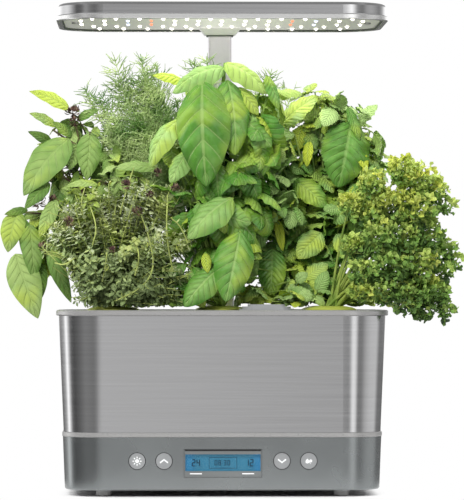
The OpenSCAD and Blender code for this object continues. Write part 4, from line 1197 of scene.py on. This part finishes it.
# %% Basil
BASIL_TUFTS = ((-12, -46, 162, 22), (14, -42, 158, 22), (36, -40, 170, 14), (-42, -44, 136, 15),
               (-2, -46, 122, 20), (18, -44, 112, 14), (-6, -46, 80, 16), (4, -42, 46, 14),
               (-10, -58, 26, 12), (-26, -44, 34, 12), (-26, -46, 84, 13), (30, -30, 146, 13),
               (22, -30, 88, 13), (-2, -60, 12, 9), (10, -38, 16, 10), (-22, -52, 12, 9))
broad = Pattern(8, 16, 0.42, 0.66)
broad_fine = Pattern(16, 42, 0.42, 0.66)
basil_kind = dict(pattern=broad, length=36, ratio=0.72, young=0.4, petiole=0.12, spacing=17,
                  pairs=3, stem=1.5, lean=1.15, weight=1.4, droop=1.3,
                  bend=dict(fold=0.2, cup=0.6, wave=0.1))
basil = Herb("basil", (0, POD_FRONT), 11, (2, -30, 262), (66, 46, 84))
FRONT = (0, -1, 0.25)
BASIL_LEAVES = (
    # foot, tip, width, face, tone (hue, painted light level), droop
    ((-16, -56, 332), (-13, -66, 247), 44, (-0.15, -1, 0.15), (0.3, 0.42), 1.1),
    ((-30, -20, 333), (-56, -26, 338), 13, (0, -0.8, 0.9), (1.0, 1.0), 0.8),
    ((12, -48, 327), (29, -50, 305), 15, (0.2, -1, 0.4), (0.95, 0.9), 0.8),
    ((2, -44, 343), (-40, -52, 322), 26, (-0.2, -0.8, 0.9), (0.2, 0.72), 1.1),
    ((4, -50, 333), (10, -60, 272), 30, (0.3, -1, 0.1), (0.3, 0.55), 0.9),
    ((2, -44, 347), (36, -50, 322), 25, (0.2, -0.7, 0.9), (0.86, 0.8), 0.9),
    ((36, -46, 337), (45, -52, 309), 12, (0.7, -1, 0.2), (0.3, 0.5), 0.5),
    ((-32, -46, 302), (-58, -56, 262), 22, (-0.6, -1, 0.5), (0.6, 0.85), 1.4),
    ((-26, -52, 277), (-42, -60, 250), 18, (-0.4, -1, 0.2), (0.3, 0.8), 0.6),
    ((8, -60, 238), (-28, -70, 205), 28, (-0.3, -1, 0.5), (0.1, 0.7), 1.0),
    ((14, -62, 211), (2, -72, 155), 32, (0.1, -1, 0.1), (0.2, 0.55), 0.7),
    ((-4, -62, 181), (-31, -68, 151), 24, (-0.2, -1, 0.3), (0.3, 0.6), 0.8),
    ((-14, -62, 194), (-12, -66, 178), 8, FRONT, (1.0, 1.0), 0.5))
for foot, tip, width, face, tone, droop in BASIL_LEAVES:
    basil.leaf_to(broad_fine, foot, tip, face, width, tone, droop, fold=0.2, cup=0.6, wave=0.08,
                  pucker=0.12)
    start = basil.crown + (basil.one_of(-8, 8), -6, 20)
    basil.stem(basil.path(start, foot, 0.15), 1.6, 1.0)
grow_sprigs(basil, BASIL_TUFTS, basil_kind, 1.2)
grow_bush(basil, BASIL_TUFTS, basil_kind, 28)
BASIL_LOW_TUFTS = ((-26, -16, 7, 11), (-44, -8, 7, 11), (-60, 0, 8, 11))
grow_bush(basil, BASIL_LOW_TUFTS, basil_kind, 60)
grow_low_leaves(basil, range(-76, -19, 8), -44, basil_kind)
basil.pieces(leaf_finish("basil_leaf", ((30, 70, 28), (92, 150, 54), (174, 210, 124),
                                        (192, 214, 78), (190, 214, 136)), 0.26, 7),
             stem_finish("basil_stem", (110, 150, 60), (160, 190, 90)),
             "basil_plant")

# %% [markdown]
# ## Thai basil
# On the left at the back, leaning far over the edge: narrower leaves on purple stems, with a
# few dark flower buds. Its lower leaves hang outside the bowl.

# %% Thai basil
THAI_TUFTS = ((-146, 24, 78, 20), (-125, 25, 112, 22), (-146, 30, 128, 12), (-122, 30, 150, 15),
              (-98, 46, 88, 26), (-142, 18, 46, 16), (-70, 46, 66, 20), (-108, 22, 58, 22),
              (-76, 30, 104, 18), (-98, 28, 128, 16), (-92, 10, 100, 14))
THAI_SMALL_TUFTS = ((-118, -8, 92, 16), (-96, -24, 104, 13), (-70, -22, 106, 13),
                    (-106, -44, 86, 11), (-84, -40, 104, 9), (-130, -12, 74, 11),
                    (-104, 14, 138, 13), (-88, 12, 122, 13))
narrow = Pattern(6, 14, 0.4, 0.8)
narrow_fine = Pattern(10, 30, 0.4, 0.8)
thai_kind = dict(pattern=narrow, length=27, ratio=0.52, young=0.4, petiole=0.14, spacing=14,
                 pairs=4, stem=1.1, lean=1.0, weight=1.0, droop=0.9,
                 bend=dict(fold=0.3, cup=0.35, wave=0.06))
thai = Herb("thai_basil", (-POD_X, POD_BACK), 23, (-112, 40, 236), (60, 50, 84))
# foot, tip, width, face, tone (hue, painted light level), droop
THAI_LEAVES = (
    ((-124, 22, 313), (-157, 12, 327), 15, (0, -1, 0.9), (1.0, 0.95), 0.6),
    ((-135, 20, 299), (-157, 12, 309), 12, (0, -0.8, 0.8), (0.3, 0.8), 0.5),
    ((-138, 20, 284), (-158, 10, 294), 9, (0, -1, 0.3), (0.1, 0.3), 0.9),
    ((-118, 16, 304), (-100, 10, 312), 9, (0, -1, 0.6), (0.1, 0.45), 0.5),
    ((-122, 14, 290), (-138, 8, 302), 9, (0, -1, 0.5), (0.1, 0.5), 0.5),
    ((-124, 10, 288), (-161, -2, 241), 31, (-0.3, -1, 0.4), (0.2, 0.65), 0.9),
    ((-140, 0, 252), (-160, -6, 230), 13, (-0.2, -1, 0.3), (0.3, 0.45), 0.6),
    ((-117, 12, 284), (-124, 2, 262), 12, (0.1, -1, 0.3), (0.2, 0.65), 0.5),
    ((-107, 12, 293), (-110, 2, 254), 21, (0.2, -1, 0.2), (0.3, 0.65), 0.5),
    ((-134, 0, 238), (-148, -8, 207), 13, (-0.2, -1, 0.2), (0.5, 0.85), 0.5),
    ((-158, 14, 230), (-177, 8, 226), 8, (0, -1, 0.6), (0.1, 0.4), 0.5),
    ((-166, 12, 229), (-174, 4, 195), 21, (-0.3, -1, 0.2), (0.4, 0.7), 0.7),
    ((-160, 8, 222), (-160, 2, 189), 11, (0.1, -1, 0.1), (0.2, 0.4), 0.6),
    ((-156, 4, 218), (-152, -4, 172), 18, (0.1, -1, 0.2), (0.3, 0.6), 0.6),
    ((-168, 4, 194), (-149, -6, 141), 27, (-0.1, -1, 0.3), (0.7, 0.9), 0.6),
    ((-149, 8, 188), (-146, 0, 158), 12, (0.2, -1, 0.1), (0.2, 0.35), 0.5),
    ((-140, 2, 200), (-122, -8, 154), 14, (-0.2, -1, 0.2), (0.2, 0.5), 0.6),
    ((-52, -26, 262), (-88, -34, 262), 15, (0, -0.8, 1), (0.3, 0.75), 0.7),
    ((-100, -22, 250), (-127, -30, 247), 11, (0, -0.7, 1), (0.8, 0.9), 0.8))
for foot, tip, width, face, tone, droop in THAI_LEAVES:
    thai.leaf_to(narrow_fine, foot, tip, face, width, tone, droop, fold=0.25, cup=0.3, wave=0.06,
                 pucker=0.06)
THAI_STEMS = (((-112, 30, 200), (-115, 14, 282), (-121, 16, 309)),
              ((-116, 12, 282), (-130, 16, 290), (-138, 18, 296)),
              ((-114, 12, 284), (-108, 11, 290), (-107, 12, 294)),
              ((-112, 30, 200), (-128, 8, 232), (-135, 2, 239)),
              ((-112, 30, 190), (-140, 12, 226), (-160, 12, 228)),
              ((-112, 30, 180), (-146, 6, 205), (-162, 4, 194)),
              ((-118, 28, 250), (-124, 8, 256), (-130, 4, 262)),
              ((-112, 28, 245), (-122, 6, 252), (-129, 3, 257)))
for joints in THAI_STEMS:
    thai.stem(rounded_line(joints), 1.1, 0.7)
thai.stem(thai.path(thai.crown, (-112, 30, 205), 0.2), 2.2, 1.4)
grow_sprigs(thai, THAI_TUFTS, thai_kind, 1.4)
grow_bush(thai, THAI_TUFTS, thai_kind, 24)
grow_bush(thai, THAI_SMALL_TUFTS, dict(thai_kind, length=17, stem=0.8), 40, 0.6)
thai.pieces(leaf_finish("thai_basil_leaf", ((40, 66, 30), (104, 142, 62), (168, 194, 114),
                                            (186, 206, 76), (164, 190, 112)), 0.42, 7),
            stem_finish("thai_basil_stem", (76, 50, 50), (126, 132, 72)),
            "thai_basil_plant")

# %% [markdown]
# Two herbs are in flower. A bud head is a handful of tiny petals round a point.

# %% Flower buds
petal = Pattern(2, 4, 0.5, 0.8)
PETALS = 36
bud_purple = leaf_finish("bud_purple", ((56, 34, 38), (118, 84, 82), (182, 156, 132),
                                        (140, 130, 80), (150, 116, 112)), 0.5, 4, 0.2, 0.5, 0.2)


def grow_buds(name, seed, clusters, node):
    """Tight heads of tiny petals, where a stem flowers. A cluster is (x, y, z, radius)."""
    buds = Herb(name, (0, 0), seed, (0, 0, 0), (1, 1, 1))
    for *centre, r in clusters:
        for _ in range(PETALS):
            out = buds.random_way()
            buds.leaf(petal, centre + out * r * 0.35, out + buds.random_way() * 0.4, out + UP,
                      r * buds.one_of(0.6, 0.95), r * 0.45,
                      (buds.one_of(0, 1), buds.one_of(0, 1)), droop=-1.2, cup=0.4, check=False)
    buds.pieces(bud_purple, None, node)


grow_buds("thai_basil_buds", 5, ((-121, 12, 310, 6.5), (-120, 10, 302, 5), (-143, 2, 257, 6),
                                 (-149, 0, 236, 6), (-145, -4, 199, 5), (-137, 2, 238, 4)),
          "thai_basil_plant")
grow_buds("thyme_buds", 7, ((-52, -66, 258, 4), (-77, -66, 248, 4.5), (-68, -72, 227, 4.5),
                            (-123, -62, 219, 4.5), (-38, -66, 246, 4), (-88, -74, 196, 3.5),
                            (-58, -74, 240, 3.5)),
          "thyme_plant")

# %% [markdown]
# ## Mint
# On the right at the back: toothed, deeply veined leaves in pairs, with pale upright stems and
# a few sunlit yellow-green leaves.

# %% Mint
MINT_TUFTS = ((66, 25, 150, 18), (86, 30, 156, 16), (100, 28, 130, 22), (60, 30, 116, 24),
              (92, 34, 96, 26), (46, 24, 86, 16), (68, 28, 76, 22), (108, 28, 66, 22),
              (86, 32, 46, 18), (92, 28, 162, 12), (110, 28, 142, 13), (122, 26, 116, 13),
              (46, 0, 134, 16), (36, 2, 104, 16), (32, 4, 72, 14), (56, -4, 84, 16),
              (74, 0, 60, 16), (100, 2, 84, 16), (114, 8, 104, 12), (40, 8, 40, 14),
              (60, 6, 28, 13), (30, 10, 22, 11), (80, 4, 26, 12), (80, 14, 168, 11),
              (98, 14, 160, 13), (112, 16, 144, 14), (122, 18, 126, 13), (28, -6, 52, 12),
              (44, -8, 82, 13), (50, 0, 100, 13), (34, 10, 140, 12), (52, 0, 40, 12),
              (78, 12, 173, 10), (92, 12, 168, 10), (110, 10, 160, 10), (122, 12, 146, 10),
              (22, -18, 16, 13), (38, -18, 14, 13), (54, -20, 14, 13), (70, -26, 14, 12),
              (26, -14, 34, 12))
toothed = Pattern(6, 18, 0.42, 0.66, tooth=0.1)
toothed_fine = Pattern(12, 36, 0.42, 0.66, tooth=0.07)
mint_kind = dict(pattern=toothed, length=27, ratio=0.7, young=0.5, petiole=0.1, spacing=15,
                 pairs=5, stem=1.1, lean=1.1, weight=0.9, droop=0.9,
                 bend=dict(fold=0.25, cup=0.45, wave=0.12, waves=4))
mint = Herb("mint", (POD_X, POD_BACK), 37, (80, 44, 240), (56, 50, 80))
# foot, tip, width, face, tone (hue, painted light level), droop
MINT_LEAVES = (
    ((50, 12, 300), (80, 6, 323), 22, (0, -0.8, 0.8), (0.4, 0.95), 0.6),
    ((106, 8, 302), (95, -2, 248), 42, (0.2, -1, 0.2), (0.1, 0.35), 0.7),
    ((104, 6, 314), (113, 0, 286), 10, (0.5, -1, 0.1), (0.2, 0.5), 0.4),
    ((60, 6, 292), (40, 2, 288), 14, (0, -0.8, 0.8), (0.2, 0.9), 0.6),
    ((72, 4, 286), (70, 0, 265), 10, (-0.6, -1, 0.1), (1.0, 1.0), 0.4),
    ((110, 4, 282), (119, -2, 262), 11, (0.4, -1, 0.1), (1.0, 1.0), 0.4),
    ((36, 2, 214), (14, -4, 192), 20, (-0.1, -1, 0.3), (0.3, 0.65), 0.6),
    ((42, 2, 198), (40, -6, 158), 25, (0, -1, 0.2), (0.3, 0.5), 0.6),
    ((60, 4, 254), (86, -2, 232), 22, (0.1, -1, 0.5), (0.2, 0.5), 0.6),
    ((82, 2, 211), (62, -6, 190), 22, (0, -1, 0.4), (0.5, 0.75), 0.7),
    ((94, 2, 210), (118, -6, 182), 24, (0.2, -1, 0.4), (0.6, 0.8), 0.7),
    ((105, 4, 222), (124, -2, 204), 18, (0.4, -1, 0.4), (0.4, 0.75), 0.6),
    ((46, 0, 222), (50, -4, 196), 8, FRONT, (1.0, 1.0), 0.3))
for foot, tip, width, face, tone, droop in MINT_LEAVES:
    mint.leaf_to(toothed_fine, foot, tip, face, width, tone, droop, fold=0.3, cup=0.4, wave=0.1,
                 waves=4, pucker=0.12)
    mint.stem(mint.path(mint.crown, foot, 0.2), 1.3, 0.8)
grow_sprigs(mint, MINT_TUFTS, mint_kind, 1.2)
grow_bush(mint, MINT_TUFTS, mint_kind, 25)
MINT_INNER_TUFTS = ((38, 26, 53, 14), (44, 20, 9, 11), (66, 24, 7, 11), (104, 10, 7, 12),
                    (120, 0, 7, 11))
grow_bush(mint, MINT_INNER_TUFTS, mint_kind, 40)
grow_low_leaves(mint, (*range(32, 73, 8), *range(96, 121, 8)), -14, mint_kind)
mint.pieces(leaf_finish("mint_leaf", ((32, 70, 28), (104, 156, 64), (184, 216, 134),
                                      (206, 222, 74), (168, 198, 120)), 0.34, 9, 0.26, 1.3),
            stem_finish("mint_stem", (104, 136, 62), (160, 182, 96)),
            "mint_plant")

# %% [markdown]
# ## Thyme
# A dense, twiggy cushion at the front on the left: thousands of leaves of a few millimetres on
# wiry pale stems. Each leaf has only a few faces, because so many of them are repeated.

# %% Thyme
THYME_TUFTS = ((-128, -48, 50, 21), (-103, -62, 32, 21), (-70, -64, 44, 20), (-42, -58, 58, 20),
               (-102, -36, 82, 23), (-66, -38, 90, 22), (-128, -28, 78, 15), (-60, -68, 18, 13),
               (-112, -66, 16, 12), (-42, -44, 90, 17), (-36, -62, 24, 14),
               (-84, -70, 20, 13), (-28, -50, 60, 14), (-140, -44, 62, 12),
               (-50, -66, 8, 8), (-112, -66, 6, 8), (-34, -56, 10, 9), (-70, -68, 8, 8))
tiny = Pattern(2, 3, 0.48, 0.75)
thyme = Herb("thyme", (-POD_X, POD_FRONT), 41, (-84, -34, 186), (66, 44, 64))


def thyme_painted_light(place):
    """Painted light: the cushion is painted pale at its top and dark at its foot, which is open.
    """
    level = np.interp(place[2], (150, 185, 225, 255), (-0.05, 0.28, 1.08, 1.3))
    return level + thyme.one_of(-0.3, 0.3)


def thyme_twig(start, tip, first):
    """A wiry twig with pairs of small leaves and short side shoots."""
    line = thyme.path(start, tip, thyme.one_of(-0.05, 0.3), sway=0.12)
    if not thyme.stem(line, 0.55, 0.3):
        return
    run = distances(line)
    at, last = run[-1] * first, len(line) - 1
    while at < run[-1]:
        place = point_at(line, run, at)
        ahead = min(last, int(len(line) * at / run[-1]) + 1)
        way = unit(line[ahead] - line[int(last * at / run[-1])])
        side = upright_part(thyme.random_way(), way)
        for out in (side, -side, np.cross(side, way)):
            along = unit(0.55 * way + out + thyme.random_way() * 0.3)
            length = thyme.one_of(4.5, 9) if run[-1] - at > 6 else thyme.one_of(3, 5)
            thyme.leaf(tiny, place + along * 0.8, along, way + UP * 0.4, length,
                       length * thyme.one_of(0.45, 0.6),
                       (thyme.one_of(0, 1), thyme_painted_light(place)),
                       droop=thyme.one_of(0.1, 0.9), cup=0.2)
        at += thyme.one_of(3, 5)


for middle, r in balls(THYME_TUFTS):
    for _ in range(share(26, r)):
        goal = middle + thyme.random_way() * r * thyme.one_of(0.5, 1.08)
        start = thyme.crown + (thyme.one_of(-14, 14), thyme.one_of(-14, 10), thyme.one_of(0, 8))
        thyme_twig(start, goal, thyme.one_of(0.3, 0.6))
LONG_TWIGS = (((-85, -72, 156), (-64, -76, 166), (-54, -76, 182), (-59, -74, 208),
               (-66, -70, 226)),
              ((-40, -72, 180), (-44, -74, 200), (-45, -72, 216), (-44, -68, 240)),
              ((-28, -66, 202), (-34, -70, 216), (-42, -68, 222)),
              ((-96, -72, 171), (-93, -75, 186), (-92, -72, 198)),
              ((-112, -64, 224), (-113, -66, 236), (-110, -60, 246)),
              ((-82, -62, 225), (-77, -66, 244), (-71, -58, 262)),
              ((-118, -66, 190), (-126, -68, 184), (-134, -60, 186)),
              ((-70, -74, 176), (-66, -76, 190), (-70, -72, 204)),
              ((-104, -66, 200), (-100, -70, 214), (-106, -66, 232)))
for joints in LONG_TWIGS:
    line = rounded_line(joints)
    thyme.stem(line, 0.7, 0.45)
    for i in range(2, len(line) - 1, 3):
        way = unit(line[i + 1] - line[i])
        side = upright_part(thyme.random_way(), way)
        for sign in (-1, 1):
            thyme.leaf(tiny, line[i], 0.5 * way + sign * side, way + UP, thyme.one_of(4, 7), 3.2,
                       (thyme.one_of(0, 1), thyme.one_of(0.5, 0.9)), cup=0.2)
thyme.pieces(leaf_finish("thyme_leaf", ((90, 108, 60), (184, 206, 138), (234, 242, 206),
                                        (218, 230, 112), (200, 216, 160)), 0.5, 4, 0.2, 0.6, 0.3),
             stem_finish("thyme_stem", (134, 146, 76), (206, 220, 126)),
             "thyme_plant")

# %% [markdown]
# ## Dill
# Behind the thyme, the tallest: feathery fronds of threads less than a millimetre thick. A frond
# is a stalk with pairs of side stalks, and each side stalk has pairs of forked threads. They are
# all thin tapered tubes, so this herb has no leaf piece.

# %% Dill
DILL_TUFTS = ((-68, 25, 178, 16), (-88, 22, 164, 16), (-44, 25, 162, 18), (-20, 26, 150, 16),
              (-70, 20, 146, 16), (-30, 22, 126, 16), (-8, 24, 102, 14), (-1, 23, 68, 12),
              (-96, 25, 176, 10), (-80, 24, 194, 9), (-64, 24, 196, 9), (-100, 20, 140, 14),
              (-54, 18, 120, 16), (-90, 26, 130, 15), (-82, 26, 146, 14))
dill = Herb("dill", (0, POD_MID), 53, (-50, 40, 280), (60, 40, 70))
dill.roundness = 0
THREAD = 0.4


def dill_thread(start, way, length, thick):
    way = unit(way + dill.random_way() * 0.35)
    bend = dill.random_way() * length * 0.14
    end = start + way * length
    middle = [(start + end) / 2 + bend] if length > 12 else []
    line = np.array([start, *middle, end])
    if is_clear(line):
        dill.stems.append((line, np.linspace(thick, thick * 0.45, len(line))))
    return start + way * length * 0.5


def dill_frond(start, tip, spread):
    """One feathery leaf from its stalk's start to its tip."""
    line = dill.path(start, tip, 0.15, steps=7)
    if not dill.stem(line, 0.7, 0.35):
        return
    length = np.linalg.norm(tip - start)
    side = upright_part(dill.random_way(), unit(tip - start))
    for k in range(int(length / 5.5)):
        v = 0.25 + 0.75 * (k + dill.one_of(0, 0.6)) / (length / 5.5)
        i = min(5, int(v * 6))
        place = line[i] + (line[i + 1] - line[i]) * min(1, v * 6 - i)
        way = unit(line[i + 1] - line[i])
        for sign in (-1, 1):
            out = unit(0.75 * way + sign * side + dill.random_way() * 0.35 + 0.15 * UP)
            reach = spread * max(0.12, 1.12 - v) ** 0.7 * dill.one_of(0.7, 1.2)
            dill_thread(place, out, reach, THREAD * 1.1)
            fringe = upright_part(np.cross(side, way) + dill.random_way() * 0.5, out)
            for w in np.arange(0.2, 1.0, 5 / max(reach, 5)):
                for flip in (-1, 1):
                    fork = dill_thread(place + out * reach * w, out + flip * fringe * 0.8,
                                       dill.one_of(6, 14), THREAD)
                    if dill.one_of(0, 1) < 0.25:
                        dill_thread(fork, out - flip * fringe * 0.5, dill.one_of(4, 8), THREAD)


for middle, r in balls(DILL_TUFTS):
    for _ in range(max(2, share(4.6, r, 16))):
        goal = middle + dill.random_way() * r * dill.one_of(0.5, 1.1)
        start = dill.crown + (goal - dill.crown) * dill.one_of(0.35, 0.6)
        dill_frond(start, goal, dill.one_of(16, 24))
        dill.stem(dill.path(dill.crown, start, 0.1, steps=4), 1.0, 0.8)
STRAY_FRONDS = (((34, 20, 300), (42, 18, 346)), ((48, 20, 296), (60, 18, 328)),
                ((-72, 20, 300), (-88, 16, 357)), ((-92, 20, 290), (-112, 16, 330)),
                ((-60, 20, 300), (-66, 16, 358)), ((-20, 20, 300), (-22, 16, 352)),
                ((-12, 20, 300), (-12, 16, 356)))
for start, tip in STRAY_FRONDS:
    dill.stem(dill.path(dill.crown, start, 0.1, steps=5), 1.0, 0.8)
    dill_frond(np.array(start, float), np.array(tip, float), 15)
dill.pieces(None, stem_finish("dill_thread", (98, 142, 66), (216, 233, 168), 0.5),
            "dill_plant")

# %% [markdown]
# ## Curly parsley
# On the right at the front: stems fan out from the crown to heads of tightly ruffled leaflets,
# painted bright yellow-green at the top, where light falls, and painted dark below. Each leaflet
# is a small ruffled fan.

# %% Parsley
PARSLEY_HEADS = ((158, -45, 104, 17), (144, -40, 112, 12), (120, -46, 102, 12),
                 (170, -40, 94, 12), (134, -48, 84, 16), (156, -52, 80, 16), (118, -44, 74, 14),
                 (164, -46, 62, 14), (146, -50, 58, 18), (126, -54, 56, 16), (173, -36, 44, 9),
                 (182, -34, 50, 7), (178, -38, 30, 8), (156, -50, 36, 18), (134, -56, 34, 16),
                 (114, -58, 30, 12), (160, -48, 14, 16), (148, -54, 10, 13), (128, -58, 14, 12),
                 (172, -42, 12, 12), (162, -46, -1, 9), (108, -60, 14, 9), (104, -52, 50, 10),
                 (104, -46, 86, 10), (181, -38, 84, 7), (190, -34, 40, 6), (181, -38, 0, 8))
frill = Curl(3, 12)
parsley = Herb("parsley", (POD_X, POD_FRONT), 67, (138, -32, 196), (52, 38, 72))
for x, y, height, r in PARSLEY_HEADS:
    head = np.array((x, y, RIM_Z + height), float)
    hub = head - (0.25 * r, 0, 0.35 * r)
    start = parsley.crown + (parsley.one_of(-4, 6), parsley.one_of(-5, 5), 0)
    parsley.stem(parsley.path(start, hub, 0.1 if height > 20 else 0.5), 1.3, 0.8)
    for i in range(share(104, r, 15)):
        out = parsley.random_way()
        goal = head + out * r * parsley.one_of(0.45, 1.0)
        radius = parsley.one_of(3.2, 6.0)
        # Painted light: leaflets high on each head are lighter, and on the tallest heads yellower.
        level = parsley.brightness(goal) - 0.15 + 0.3 * out[2]
        parsley.curl(frill, goal, unit(out + 0.5 * UP), parsley.random_way(), radius,
                     (parsley.one_of(0, 0.8) + (0.3 if height > 90 and out[2] > 0 else 0), level))
        if i % 3 == 0:
            parsley.stem(parsley.path(hub, goal, 0.05, steps=4), 0.6, 0.4)
parsley.pieces(leaf_finish("parsley_leaf", ((54, 84, 46), (136, 178, 86), (222, 240, 130),
                                            (228, 232, 104), (160, 198, 80)),
                           0.4, 3, 0.1, 0.5, 0.25),
               stem_finish("parsley_stem", (110, 140, 58), (176, 194, 96)),
               "parsley_plant")
